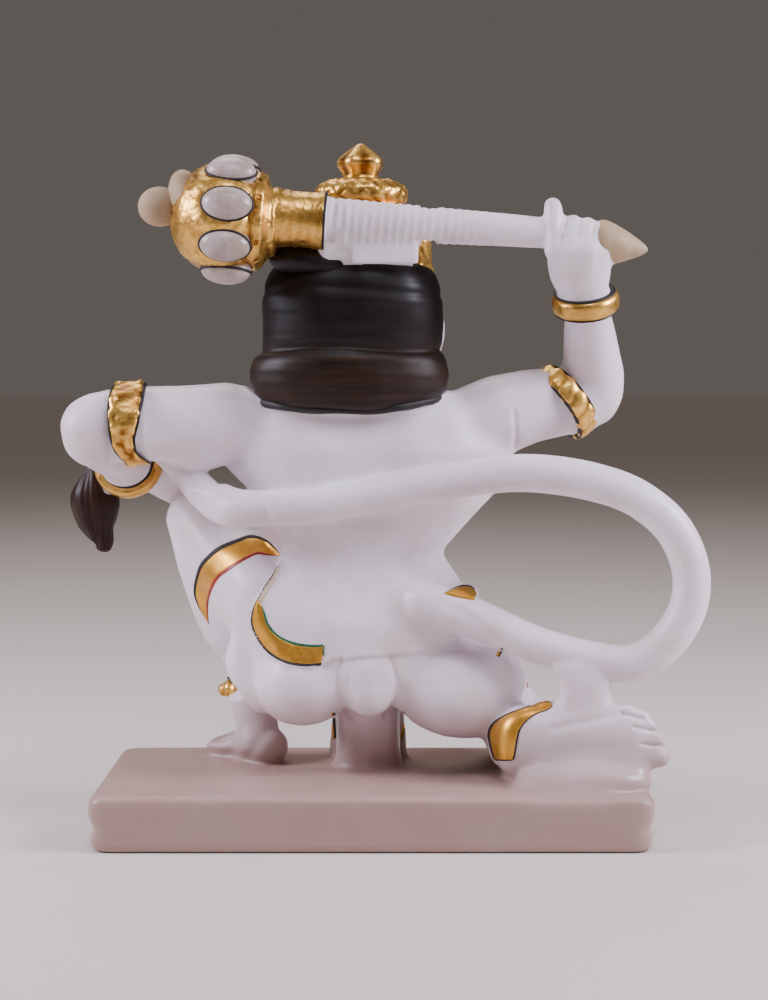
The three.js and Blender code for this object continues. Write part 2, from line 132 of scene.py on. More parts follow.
def lumps(points, across, seed=0):
    """Smooth lumps from -1 to 1, about that many millimetres across."""
    spot = points / across + 500
    cell = np.floor(spot).astype(np.int64)
    part = spot - cell
    part = part * part * (3 - 2 * part)
    heights = np.random.default_rng(seed).uniform(-1, 1, 4096)
    total = np.zeros(len(points))
    for corner in np.ndindex(2, 2, 2):
        x, y, z = (cell + corner).T
        index = (x * 73856093 ^ y * 19349663 ^ z * 83492791) % 4096
        total += np.prod(np.where(corner, part, 1 - part), axis=1) * heights[index]
    return total


def beside(spots, line, strengths):
    """How far each spot is from a line, which side it is on, and the line's strength there."""
    nearest = np.full(len(spots), 1e9)
    side = np.zeros(len(spots))
    strength = np.zeros(len(spots))
    for i, (start, stop) in enumerate(zip(line[:-1], line[1:])):
        along, offset = stop - start, spots - start
        share = np.clip(offset @ along / (along @ along + 1e-12), 0, 1)
        away = np.linalg.norm(offset - share[:, None] * along, axis=1)
        closer = away < nearest
        nearest[closer] = away[closer]
        side[closer] = np.sign(along[0] * offset[closer, 1] - along[1] * offset[closer, 0])
        strength[closer] = (strengths[i] + share * (strengths[i + 1] - strengths[i]))[closer]
    return nearest, side, strength


# Handling

def select_only(*pieces):
    bpy.ops.object.select_all(action="DESELECT")
    for piece in pieces:
        piece.select_set(True)
    bpy.context.view_layer.objects.active = pieces[0]


def settle(piece):
    """Moves a piece's place, turn and size into its mesh."""
    select_only(piece)
    bpy.ops.object.transform_apply(location=True, rotation=True, scale=True)
    return piece


def points_of(piece):
    flat = np.empty(len(piece.data.vertices) * 3, np.float32)
    piece.data.vertices.foreach_get("co", flat)
    return flat.reshape(-1, 3).astype(float)


def put_points(piece, points):
    piece.data.vertices.foreach_set("co", points.astype(np.float32).ravel())
    piece.data.update()


def normals_of(piece):
    flat = np.empty(len(piece.data.vertices) * 3, np.float32)
    piece.data.vertex_normals.foreach_get("vector", flat)
    return flat.reshape(-1, 3).astype(float)


def keep_number(piece, name, numbers):
    """Keeps one number for each vertex, for the finish to read."""
    layer = piece.data.attributes.new(name, "FLOAT", "POINT")
    layer.data.foreach_set("value", np.asarray(numbers, np.float32))


def modified(piece, kind, **settings):
    """Adds one modifier with its settings and applies it."""
    select_only(piece)
    modifier = piece.modifiers.new(kind.lower(), kind)
    for name, value in settings.items():
        setattr(modifier, name, value)
    bpy.ops.object.modifier_apply(modifier=modifier.name)
    return piece


def finished(piece, name, finish):
    """Names a piece, shades it smooth, and gives it its finish and its place on the block."""
    piece.name = name
    piece.data.name = name
    piece.data.materials.clear()
    piece.data.materials.append(finish)
    select_only(piece)
    bpy.ops.object.shade_smooth()
    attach(piece, "root")
    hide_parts("hanuman_figure")
    return piece


def turned_to(piece, place, axis):
    """Stands a piece that was made upright at the origin on a place, along an axis."""
    turn = Vector((0, 0, 1)).rotation_difference(Vector(axis))
    piece.data.transform(turn.to_matrix().to_4x4())
    piece.data.transform(Matrix.Translation(place))
    return piece


# Basic forms

def ringed(levels, segments=96, rings=64, power=2.0, finer=6):
    """A ball whose rings are laid on levels of (x, y, z, half width, half depth) in mm."""
    bpy.ops.mesh.primitive_uv_sphere_add(segments=segments, ring_count=rings, radius=1)
    piece = bpy.context.object
    points = points_of(piece)
    line = smooth_line(levels, finer)
    run = np.concatenate([[0], np.cumsum(np.linalg.norm(np.diff(line, axis=0), axis=1))])
    share = 1 - np.arccos(np.clip(points[:, 2], -1, 1)) / math.pi
    x, y, z, wide, deep = (np.interp(share * run[-1], run, line[:, k]) for k in range(5))
    angle = np.arctan2(points[:, 1], points[:, 0])
    squared = [np.sign(side) * np.abs(side) ** (2 / power) for side in (np.cos(angle), np.sin(angle))]
    pole = np.linalg.norm(points[:, :2], axis=1) < 1e-4
    wide = np.where(pole, 0, np.maximum(wide, 0.02))
    deep = np.where(pole, 0, np.maximum(deep, 0.02))
    put_points(piece, np.stack([x + wide * squared[0], y + deep * squared[1], z], 1) * MM)
    return piece


def ring_levels(levels):
    """Levels on the figure, as ringed() takes them."""
    return [(x, y - SET_FORWARD, z + PLINTH_TOP, wide, deep) for x, y, z, wide, deep in levels]


def hoop(radius, width, height, segments=160, section=20, power=2.6):
    """A flat-sided ring around Z whose section is width along Z and stands height out, in mm."""
    bpy.ops.mesh.primitive_torus_add(major_segments=segments, minor_segments=section,
                                     major_radius=1, minor_radius=0.25)
    piece = bpy.context.object
    points = points_of(piece)
    angle = np.arctan2(points[:, 1], points[:, 0])
    out = (np.linalg.norm(points[:, :2], axis=1) - 1) / 0.25
    up = points[:, 2] / 0.25
    turn = np.arctan2(up, out)
    shape = [np.sign(side) * np.abs(side) ** (2 / power) for side in (np.cos(turn), np.sin(turn))]
    reach = radius + height * shape[0]
    put_points(piece, np.stack([reach * np.cos(angle), reach * np.sin(angle), width / 2 * shape[1]], 1) * MM)
    return piece


def pebble(place, half_sizes, turn=(0, 0, 0), segments=32):
    """An egg-shaped form, in mm, turned in degrees."""
    bpy.ops.mesh.primitive_uv_sphere_add(segments=segments, ring_count=segments // 2 + 2, radius=1,
                                         location=at(*place), rotation=[math.radians(a) for a in turn],
                                         scale=[half * MM for half in half_sizes])
    return settle(bpy.context.object)


def rope(line, radius, sides=10, closed=False):
    """A round strand along a line of points in mm, made from a curve."""
    curve = bpy.data.curves.new("strand", "CURVE")
    curve.dimensions = "3D"
    curve.bevel_depth = MM
    curve.bevel_resolution = sides // 4
    curve.use_fill_caps = True
    spline = curve.splines.new("POLY")
    spline.points.add(len(line) - 1)
    spline.use_cyclic_u = closed
    radii = np.broadcast_to(radius, len(line))
    for point, place, size in zip(spline.points, line, radii):
        point.co = (*at(*place), 1)
        point.radius = size
    piece = bpy.data.objects.new("strand", curve)
    bpy.context.scene.collection.objects.link(piece)
    select_only(piece)
    bpy.ops.object.convert(target="MESH")
    return bpy.context.object


def strand(stations, sides=24, finer=6):
    """A round limb through stations of (x, y, z, radius) in mm, with round ends."""
    line = smooth_line(stations, finer)
    tips = [pebble(end[:3], [end[3]] * 3, segments=sides) for end in (line[0], line[-1])]
    return joined(rope(line[:, :3], line[:, 3], sides), *tips)


def relief(piece, height):
    """Raises each vertex along its normal by height(points in mm), and keeps that height."""
    rise = height(points_of(piece) / MM)
    put_points(piece, points_of(piece) + normals_of(piece) * rise[:, None] * MM)
    # The gold finish turns this kept height into painted shade in the hollows and painted highlight on the
    # crests.
    keep_number(piece, "relief", rise)
    return piece


def joined(*pieces):
    select_only(*pieces)
    bpy.ops.object.join()
    return bpy.context.object


# Finishes

def linear(code):
    """A hex sRGB colour as linear light."""
    parts = [int(code[i:i + 2], 16) / 255 for i in (1, 3, 5)]
    return [v / 12.92 if v <= 0.04045 else ((v + 0.055) / 1.055) ** 2.4 for v in parts] + [1]


def add_node(material, kind, settings=None, **links):
    """Adds a node, sets its properties, and fills its sockets with values or other nodes' outputs."""
    tree = material.node_tree
    node = tree.nodes.new(kind)
    for name, value in (settings or {}).items():
        setattr(node, name, value)
    for name, value in links.items():
        key = int(name[1:]) if name[0] == "i" and name[1:].isdigit() else name.replace("_", " ")
        if isinstance(value, bpy.types.NodeSocket):
            tree.links.new(value, node.inputs[key])
        else:
            node.inputs[key].default_value = value
    return node


def new_finish(name):
    material = bpy.data.materials.new(name)
    material.use_nodes = True
    material.node_tree.nodes.clear()
    return material


def close_finish(material, **sockets):
    """The shader and the output that every finish ends in."""
    shader = add_node(material, "ShaderNodeBsdfPrincipled", **sockets)
    add_node(material, "ShaderNodeOutputMaterial", Surface=shader.outputs[0])
    return material


def grain(material, size_mm, detail=3.0, stretch=(1, 1, 1), roughness=0.55):
    """Noise whose coarsest lumps are size_mm across, stretched along the axes."""
    place = add_node(material, "ShaderNodeTexCoord").outputs["Object"]
    spread = add_node(material, "ShaderNodeMapping", Vector=place, Scale=stretch).outputs[0]
    return add_node(material, "ShaderNodeTexNoise", Vector=spread, Scale=1 / (size_mm * MM),
                    Detail=detail, Roughness=roughness).outputs["Fac"]


def blended(material, share, low, high):
    """A colour between two hex colours by share."""
    return add_node(material, "ShaderNodeMix", {"data_type": "RGBA"}, Factor=share,
                    i6=linear(low), i7=linear(high)).outputs[2]


def ranged(material, value, low, high, to_low=0.0, to_high=1.0):
    return add_node(material, "ShaderNodeMapRange", Value=value, From_Min=low, From_Max=high,
                    To_Min=to_low, To_Max=to_high).outputs[0]


def laid_over(material, share, below, above):
    """A second colour, an output or a hex code, over a first by share."""
    above = linear(above) if isinstance(above, str) else above
    return add_node(material, "ShaderNodeMix", {"data_type": "RGBA"}, Factor=share,
                    i6=below, i7=above).outputs[2]


def bump(material, height, strength, distance_mm):
    return add_node(material, "ShaderNodeBump", Height=height, Strength=strength,
                    Distance=distance_mm * MM).outputs[0]


def white_marble():
    """Honed white marble: milky and faintly violet, with rosy clouds, and with painted shade that browns and
    darkens it towards the plinth.
    """
    # Clouds 30 to 60 mm across, broken veins, and crystals of 1 to 2 mm, which give the soft sparkle
    m = new_finish("honed_white_marble")
    place = add_node(m, "ShaderNodeTexCoord").outputs["Object"]
    height = add_node(m, "ShaderNodeSeparateXYZ", Vector=place).outputs["Z"]
    base = blended(m, ranged(m, grain(m, 60, 5), 0.36, 0.68), "#F1E9F1", "#E0D3DC")
    base = laid_over(m, ranged(m, grain(m, 30, 3), 0.5, 0.74, 0, 0.4), base, "#E4CDC8")
    # Painted shade: from 80 mm above the table down to the plinth's top at 30 mm, the stone is mixed more and
    # more towards a dark brown, to 85 %, standing in for light that falls off towards the bottom.
    base = laid_over(m, ranged(m, height, 0.03, 0.08, 0.85, 0), base, "#9E7C69")
    vein = grain(m, 45, 8, stretch=(1, 1, 2), roughness=0.75)
    thin = add_node(m, "ShaderNodeMath", {"operation": "MULTIPLY"}, i0=ranged(m, vein, 0.485, 0.5, 0, 0.35),
                    i1=ranged(m, vein, 0.5, 0.515, 0.35, 0)).outputs[0]
    base = laid_over(m, thin, base, "#B7A2A6")
    base = laid_over(m, ranged(m, grain(m, 1.6, 2), 0.66, 0.74, 0, 0.18), base, "#BFA9A6")
    gloss = ranged(m, grain(m, 9, 3), 0.3, 0.7, 0.33, 0.47)
    close = bump(m, grain(m, 1.3, 3), 0.1, 0.25)
    return close_finish(m, Base_Color=base, Roughness=gloss, Normal=close, IOR=1.5,
                        Subsurface_Weight=0.3, Subsurface_Radius=(1.0, 0.72, 0.66), Subsurface_Scale=0.004)


def grey_marble():
    """The ovals of the mace: the same stone, waxed, and coloured a duller grey-brown than the rest of the
    block.
    """
    m = new_finish("waxed_grey_marble")
    base = blended(m, ranged(m, grain(m, 9, 4), 0.35, 0.65), "#A2907F", "#BDAEAC")
    base = laid_over(m, ranged(m, grain(m, 3.5, 4), 0.56, 0.72, 0, 0.45), base, "#9C8470")
    close = bump(m, grain(m, 1.5, 3), 0.1, 0.2)
    return close_finish(m, Base_Color=base, Roughness=0.3, Normal=close, IOR=1.5)


def gold_leaf():
    """Gold leaf laid by hand on carved stone, with painted highlight, bright, on the crests and painted
    shade, umber, in the hollows.
    """
    # Patches of leaf 6 mm across, rubbed spots of 1.5 mm, and crumples of about 2 mm, which break the gleam
    m = new_finish("gold_leaf_on_stone")
    height = add_node(m, "ShaderNodeAttribute", {"attribute_name": "relief"}).outputs["Fac"]
    # Painted highlight and shade: the colour follows the kept relief height, umber where the surface is sunk
    # and bright gold where it is raised.
    base = blended(m, ranged(m, height, -0.6, 0.3), "#84501A", "#F6C463")
    base = laid_over(m, ranged(m, grain(m, 6, 4), 0.54, 0.7, 0, 0.5), base, "#BE8022")
    base = laid_over(m, ranged(m, grain(m, 1.5, 2), 0.64, 0.73, 0, 0.45), base, "#7A4A12")
    dull = ranged(m, grain(m, 3, 3), 0.3, 0.7, 0.24, 0.42)
    return close_finish(m, Base_Color=base, Metallic=0.88, Roughness=dull,
                        Normal=bump(m, grain(m, 1.8, 4), 0.35, 0.3))


def flat_gold():
    """Gold paint brushed flat on the polished stone."""
    # Brush patches 7 mm across over a 1 mm grain, so that the gleam is even but not mirror-like
    m = new_finish("brushed_gold_paint")
    base = blended(m, ranged(m, grain(m, 7, 4), 0.3, 0.7), "#CB8F2E", "#E6AE4A")
    dull = ranged(m, grain(m, 2, 3), 0.3, 0.7, 0.3, 0.42)
    return close_finish(m, Base_Color=base, Metallic=0.8, Roughness=dull,
                        Normal=bump(m, grain(m, 0.9, 3), 0.3, 0.2))


def hair_paint():
    """Dark brown enamel brushed along the strands, browner in the lower fold."""
    # Strokes about 3 mm high and many times as long, which draw the combed strands
    m = new_finish("dark_brown_hair_enamel")
    place = add_node(m, "ShaderNodeTexCoord").outputs["Object"]
    height = add_node(m, "ShaderNodeSeparateXYZ", Vector=place).outputs["Z"]
    strands = grain(m, 24, 6, stretch=(0.4, 0.4, 7), roughness=0.68)
    share = ranged(m, strands, 0.34, 0.7)
    base = laid_over(m, ranged(m, height, 0.262, 0.274, 1, 0), blended(m, share, "#080404", "#160C0D"),
                     blended(m, share, "#0F0704", "#301D0C"))
    dull = ranged(m, grain(m, 16, 3), 0.35, 0.65, 0.42, 0.55)
    return close_finish(m, Base_Color=base, Roughness=dull, Normal=bump(m, strands, 0.12, 0.3),
                        Specular_IOR_Level=0.28)


def tuft_paint():
    """The same brown enamel, brushed down the tuft."""
    m = new_finish("dark_brown_tuft_enamel")
    strands = grain(m, 8, 5, stretch=(3, 3, 0.5), roughness=0.7)
    base = blended(m, ranged(m, strands, 0.34, 0.66), "#180B06", "#341C10")
    return close_finish(m, Base_Color=base, Roughness=0.45, Normal=bump(m, strands, 0.2, 0.4),
                        Specular_IOR_Level=0.25)


def brushed_enamel(name, dark, light, gloss=0.35):
    """A line of enamel paint, a little uneven from the brush."""
    m = new_finish(name)
    base = blended(m, ranged(m, grain(m, 2.5, 3), 0.35, 0.65), dark, light)
    return close_finish(m, Base_Color=base, Roughness=gloss, Normal=bump(m, grain(m, 0.8, 2), 0.15, 0.15))


def bare_stone():
    """Unpainted stone left matt and buff at the ends of the mace."""
    m = new_finish("matt_buff_stone")
    base = blended(m, ranged(m, grain(m, 12, 4), 0.35, 0.65), "#A08767", "#B59C7B")
    return close_finish(m, Base_Color=base, Roughness=0.6, Normal=bump(m, grain(m, 1.2, 3), 0.15, 0.25))


MARBLE = white_marble()
GOLD = gold_leaf()
FLAT_GOLD = flat_gold()
HAIR = hair_paint()
TUFT = tuft_paint()
BLACK = brushed_enamel("black_line_enamel", "#0A0807", "#1A1410", 0.6)
RED = brushed_enamel("red_line_enamel", "#7C0D14", "#B01822")
GREEN = brushed_enamel("green_line_enamel", "#0A4E31", "#14724A")
WHITE = brushed_enamel("white_eye_enamel", "#E8E2DC", "#F4F0EA", 0.25)
BUFF = bare_stone()
# Painted shade: a cream enamel laid where the sash's upper edge turns under.
CREAM = brushed_enamel("cream_painted_shade", "#CDBB9B", "#DCCDB2", 0.5)
PUPIL = brushed_enamel("dark_brown_eye_enamel", "#140B07", "#2A170D", 0.2)
OVAL = grey_marble()


# The carved block

def soften(piece, reach, strength=0.8):
    """Evens out forms finer than reach (metres, one for each vertex) without thinning them."""
    points = points_of(piece)
    count = len(points)
    flat = np.empty(len(piece.data.edges) * 2, np.int32)
    piece.data.edges.foreach_get("vertices", flat)
    one, other = flat.reshape(-1, 2).T
    degree = (np.bincount(one, minlength=count) + np.bincount(other, minlength=count))[:, None]
    spacing = np.linalg.norm(points[one] - points[other], axis=1).mean()
    rounds = 2 * (reach / spacing) ** 2 / strength
    steps = max(1, math.ceil(rounds.max()))
    share = strength * (rounds / steps)[:, None]

    def evened(places):
        places = places.copy()
        for _ in range(steps):
            total = np.stack([np.bincount(one, places[other, k], count)
                              + np.bincount(other, places[one, k], count) for k in range(3)], 1)
            places += share * (total / degree - places)
        return places

    once = evened(points)
    put_points(piece, 2 * once - evened(once))


def near(points, centre, radius, fade=8.0):
    """1 within a ball on the figure, fading to 0 outside it."""
    away = np.linalg.norm(points - np.array(centre, float), axis=1)
    return np.clip((radius + fade - away) / fade, 0, 1)


def near_line(points, line, radius, fade=4.0):
    return np.clip((radius + fade - line_distance(points, np.array(line, float))) / fade, 0, 1)


BROAD_FORMS = 4.2
FINE_FORMS = [
    # centre, radius, and the finest form kept there, in mm
    ((10, -50, 238), 36, 3.2),
    ((-112, 30, 296), 24, 1.8),
    ((110, -62, 156), 26, 1.8),
    ((-146, 50, 28), 20, 2.4),
    ((84, -46, 6), 22, 1.8),
    ((2, 24, 290), 32, 1.5),
]
TAIL = [
    # the tail's middle line and radius, from the seat round the loop and over the left forearm
    (-28, 29, 97, 13), (-54, 34, 90, 11.3), (-92, 38, 74.7, 10.1), (-129, 43, 66.2, 10.4),
    (-147, 44, 68, 10.5), (-162, 45, 80.6, 10.4), (-171, 46, 98, 10.3), (-172, 46, 117, 10.3),
    (-164, 46, 137, 10.3), (-149.5, 46, 151.5, 10.3), (-130, 46, 161.5, 10.4), (-100, 44, 168, 10.5),
    (-68, 41, 168.5, 10.2), (-15, 36, 159.8, 10), (28, 33, 151.4, 9.8), (67, 28, 148.6, 10),
    (81, 21, 148.8, 9.9), (94.5, 9, 157.4, 9.3), (105.5, -7, 168.8, 8.8), (131, -37, 187.5, 8.7),
    (146, -43, 189, 8), (158, -50, 181, 6.8), (160.5, -56, 171, 5),
]
SHAFT = [(45, 32, 306, 12.5), (26, 32, 305.5, 12.5), (-32, 32, 302.8, 10), (-92, 32, 298.8, 8.4),
         (-122, 33, 295.3, 8)]


def reach_at(points):
    """How much softening each place takes, in mm."""
    reach = np.full(len(points), BROAD_FORMS) + 1.4 * near(points, (-5, 20, 72), 50, 25)
    for centre, radius, finest in FINE_FORMS:
        share = near(points, centre, radius)
        reach = reach * (1 - share) + finest * share
    beside_tail = near_line(points, np.array(TAIL)[1:-2, :3], 13, 5)
    reach = reach * (1 - beside_tail) + 2.6 * beside_tail
    under_foot = near(points, (-112, 62, 6), 30, 16)
    reach = reach * (1 - under_foot) + 7 * under_foot
    plinth = np.clip((2 - points[:, 2]) / 4, 0, 1)
    return reach * (1 - plinth) + 0.7 * plinth


def face_forms():
    """A calm, broad monkey's face: brow, lids, nose, muzzle, lips, cheeks and ears."""
    forms = [
        pebble((10, -57, 246), (4.6, 6, 9), (24, 0, 0)),
        pebble((10, -65.5, 238), (6, 4.6, 4.2)),
        pebble((10, -60, 230), (17, 11, 9)),
        pebble((10, -60.5, 219.6), (10, 6, 3.6)),
        pebble((10, -55, 213.5), (11, 8, 6)),
    ]
    for side in (-1, 1):
        def x(away):
            return 10 + side * away
        forms += [
            pebble((x(4.8), -65.8, 236), (3.2, 3.2, 2.6)),
            pebble((x(26), -42, 233), (13, 11, 12)),
            pebble((x(15.5), -51.5, 249), (8.2, 5.2, 5), (0, 0, 8 * side)),
            strand([(x(3), -59, 255.5, 2.2), (x(13), -57.5, 258.8, 3), (x(24), -50.5, 257.6, 2.8),
                    (x(33), -40, 252, 1.6)]),
            strand([(x(7.6), -56, 247.6, 0.9), (x(12), -57.3, 251.8, 1.2), (x(17.5), -56.4, 252.8, 1.2),
                    (x(24), -51, 249.2, 0.9)]),
            strand([(x(7.6), -56, 247.2, 0.8), (x(13), -56.8, 244.9, 0.9), (x(18.5), -55.4, 245, 0.9),
                    (x(24), -51, 248.4, 0.8)]),
            pebble((x(46.5), -22, 244), (4.2, 7, 13), (0, 8 * side, 16 * side)),
            pebble((x(46), -27, 224.5), (5.5, 5.5, 6)),
        ]
    return forms


def hand_and_foot_forms():
    """Fingers, thumb and toes, the ledge under the right foot, and the left heel."""
    forms = []
    for i in range(4):
        x, drop = -101 - 8 * i, 1.4 * i
        forms.append(strand([(x, 39, 297 - drop, 4.8), (x, 29, 305.4 - drop, 5), (x, 19, 300 - drop, 4.8),
                             (x, 18.6, 290 - drop, 4.5), (x, 26, 286 - drop, 4)], finer=4))
    forms.append(strand([(-99, 38, 289, 6.2), (-98.6, 36, 303, 6), (-98, 34.5, 308.5, 5.4),
                         (-97.6, 33.6, 313, 4.6)]))
    for x, z, radius, back in ((-138.6, 38.6, 4.8, 14), (-147.4, 32.4, 5.2, 15), (-153.2, 25.3, 5.4, 16),
                               (-155.2, 16.8, 6.2, 18)):
        forms.append(strand([(x + back, 50.5, z * 0.86 + 3, radius + 0.8),
                             (x + 6, 50.8, z - 0.2, radius + 0.4), (x, 51, z, radius)], finer=4))
    forms.append(pebble((-113, 55, 2), (38, 18.5, 14), (0, 3, 0)))
    forms.append(pebble((61, -20, 9), (12.5, 12.5, 11.5)))
    return forms


def web_form():
    """The block left between the shaft and the crown, with its crisp sawn edge and its rough corner."""
    blocks = []
    for x, z, wide, high in ((-6.8, 291.5, 36.4, 19.6), (17.6, 296, 17, 11)):
        bpy.ops.mesh.primitive_cube_add(size=1, location=at(x, 24.6, z),
                                        scale=(wide * MM, 0.0272, high * MM))
        blocks.append(modified(settle(bpy.context.object), "BEVEL", width=1.1 * MM, segments=3))
    return joined(*blocks, strand([(25, 29, 297, 9.5), (-17, 29, 295.5, 9.5)]))


def column_form():
    """The round-cornered column left under the seat."""
    levels = [(-6, 0.1, 0.1), (-5, 21, 20), (2, 19.4, 18.6), (8, 18.3, 17.8), (20, 18, 17.4), (34, 17.6, 17),
              (40, 15, 15), (41, 0.1, 0.1)]
    return ringed(ring_levels([(2.4, -14, z, wide, deep) for z, wide, deep in levels]), power=2.5)


def filling_forms():
    """The thighs' sides over the shins, the belt's side, and the flank beside the left elbow's gap."""
    return [pebble((-66, 14, 54), (20, 19, 20)), pebble((-47, 12, 100), (12.5, 22, 6.5)),
            strand([(80.5, 3.5, 178, 5.5), (73.5, 6, 171, 5.8), (66, 6.7, 164, 6)]),
            strand([(73.5, 8, 77, 6), (71, 7, 62, 12), (64, 9, 51, 12), (60, 10, 44, 11)]),
            pebble((-97, 38, 37.5), (12, 12, 7))]


def nudged(points):
    """Draws in the left shin and the right knee, and lowers the tail's top beside the elbow's gap."""
    x, y, z = points.T
    shin = np.interp(z, [36, 38, 41, 46, 51, 56, 62, 69], [0, 2.5, 8, 9.5, 6, 4.5, 3.5, 0])
    shin = shin * np.clip((x - 62) / 13, 0, 1) * (y < 4)
    knee = np.interp(z, [30, 42, 60, 72], [0, 1, 1, 0])
    knee = knee * np.clip((-78 - x) / 9, 0, 1) * np.clip((16 - y) / 10, 0, 1)
    gap = near(points, (93, 11, 170), 6, 11)
    return points + np.stack([7 * knee - shin + 3 * gap, 0 * x, -6 * gap], 1)


SASH_EDGE = [(266, 505), (274, 528), (280, 540), (280, 555), (274, 571), (264, 586), (255.5, 602), (252, 614),
             (252, 627), (259, 642), (269, 655), (284, 664), (302, 667.5), (321, 666)]


def carve_edge(rise, spots, where, line, strengths, outside, inside=4.0):
    """Cuts the stone back on the outer side of a line, so that the inner side stands over it."""
    line = np.array(line, float)
    fine = smooth_line(line, 6)
    spread = np.interp(np.linspace(0, 1, len(fine)), np.linspace(0, 1, len(strengths)), strengths)
    away, side, strength = beside(spots[where], fine, spread)
    cut = -strength * np.exp(-((away / outside) ** 2))
    lip = 0.22 * strength * np.exp(-((away / inside) ** 2))
    rise[where] += np.where(side > 0, cut, lip)


def carve_groove(rise, spots, where, line, wide, deep):
    away = line_distance(spots[where], smooth_line(line))
    rise[where] -= deep * np.exp(-((away / wide) ** 2))


def carve_back(rise, points, spots, normals):
    """The sash's edge and hem, the folds of the seat, and the lines of the foot and hand."""
    back = normals[:, 1] > 0.05
    low = back & (points[:, 2] < 150) & (points[:, 1] > -25) & (spots[:, 0] < 508)
    carve_edge(rise, spots, low, SASH_EDGE,
               [0.2, 1.6, 2.2, 2.2, 2, 1.8, 1.5, 1.3, 1.3, 1.2, 1.1, 1, 0.9, 0.9], 16)
    hem = [(321, 664), (336, 660), (366, 657), (400, 655), (428, 652), (462, 648), (500, 649)]
    carve_edge(rise, spots, low & (spots[:, 0] > 321), hem, [0.9, 1, 1, 1, 0.9, 0.8, 0.6], 9)
    seat = low & (spots[:, 1] > 655)
    carve_groove(rise, spots, seat, [(341, 660), (337, 684), (342, 704), (350, 716)], 3.2, 1.1)
    carve_groove(rise, spots, seat, [(390, 658), (397, 684), (394, 704), (386, 717)], 3.2, 1.1)
    carve_groove(rise, spots, seat, [(352, 662), (349, 690), (357, 712)], 2.6, 0.35)
    side = back & (points[:, 2] > 150) & (points[:, 2] < 215) & (points[:, 0] < -40)
    carve_groove(rise, spots, side, [(514, 412), (516, 430), (515, 449)], 2.6, 0.8)
    waist = back & (points[:, 2] > 60) & (points[:, 2] < 130)
    carve_groove(rise, spots, waist, [(438, 600), (462, 612), (478, 624), (500, 641)], 5, 0.7)
    foot = back & (points[:, 0] < -84) & (points[:, 2] < 62)
    carve_groove(rise, spots, foot, [(552, 729), (575, 724), (598, 719), (622, 712)], 4, 0.9)
    carve_groove(rise, spots, foot, [(524, 770), (552, 776), (590, 783), (648, 792)], 7, 0.4)
    carve_groove(rise, spots, foot, [(560, 752), (600, 748), (640, 752)], 7, 0.5)
    toes = foot & (points[:, 0] < -122)
    for line in ([(622, 713), (643, 718.5)], [(634, 727), (659, 732)], [(642, 744), (670, 747)]):
        carve_groove(rise, spots, toes, line, 1.7, 1.4)
    hand = back & (points[:, 2] > 268) & (points[:, 0] < -88)
    for x in (566.5, 580.5, 594.5):
        carve_groove(rise, spots, hand, [(x, 214), (x - 0.5, 224), (x - 3, 236)], 1.5, 0.7)
    carve_groove(rise, spots, hand, [(563, 216), (560, 232), (566, 250)], 2.4, 0.6)
    fore = back & (points[:, 2] > 212) & (points[:, 2] < 250) & (points[:, 0] < -88)
    carve_groove(rise, spots, fore, [(573, 320), (574, 345), (571, 366)], 3, 0.35)


def carve_front(rise, points, normals):
    """The mouth and the pleats of the hanging cloth."""
    front = normals[:, 1] < -0.1
    flat = points[:, [0, 2]]
    mouth = front & (points[:, 1] < -48) & (points[:, 2] > 212) & (points[:, 2] < 236)
    lips = [(-3, 225.6), (3, 223.4), (10, 224.4), (17, 223.4), (23, 225.6)]
    carve_groove(rise, flat, mouth, lips, 1.0, 1.1)
    carve_groove(rise, flat, mouth, [(10, 224.4), (10, 233.5)], 1.1, 0.5)
    cloth = front & (np.abs(points[:, 0] - 3) < 21) & (points[:, 1] < -20)
    cloth &= (points[:, 2] > -1) & (points[:, 2] < 84)
    pleat = np.cos((points[:, 0] - 3) / 7.4 * 2 * math.pi)
    rise[cloth] += (0.75 * pleat * np.clip((86 - points[:, 2]) / 26, 0, 1))[cloth]


def carve(piece):
    """Fine lines cut after the softening."""
    points = on_figure(points_of(piece))
    normals = normals_of(piece)
    spots = seen(points)
    rise = np.zeros(len(points))
    carve_back(rise, points, spots, normals)
    carve_front(rise, points, normals)
    shaft = near_line(points, np.array(SHAFT)[:, :3], 13, 1) * (points[:, 0] > -95)
    turn = np.arctan2(points[:, 2] - 303, points[:, 1] - 32)
    twist = np.cos(2 * math.pi * points[:, 0] / 4.6 + 1.4 * turn)
    fade = np.clip((points[:, 0] + 74) / 45, 0, 1) * np.clip((30 - points[:, 0]) / 6, 0, 1)
    rise += 0.3 * shaft * twist * fade
    chips = near(points, (20, 37, 293), 6, 4) * (normals[:, 1] > -0.2)
    rise += chips * 1.4 * (lumps(points, 3.6, 5) - 0.2)
    put_points(piece, in_frame(points + normals * rise[:, None]))


COVERED = [
    # centre and half sizes of a box in which the stone hides under another piece, and how far, in mm
    ((6.3, -5, 314), (42, 42, 38), 2.8),
    ((6.3, -5, 337), (20, 20, 14), 4.0),
    ((84, 32, 308), (40, 36, 36), 4.5),
    ((36, 32, 305), (12, 20, 20), 1.6),
    ((136, 8, 195), (11, 27, 27), 1.8),
]


def within_rings(points, levels, power=2.0):
    """How far out each point is in a ringed form: below 1 inside it."""
    x, y, z, wide, deep = np.array(levels).T
    across, along, height = points.T
    middle_x, middle_y, half_wide, half_deep = (np.interp(height, z, part) for part in (x, y, wide, deep))
    side = np.abs(across - middle_x) / np.maximum(half_wide, 0.1)
    back = np.abs(along - middle_y) / np.maximum(half_deep, 0.1)
    return np.where((height > z[0]) & (height < z[-1]), (side ** power + back ** power) ** (1 / power), 9)


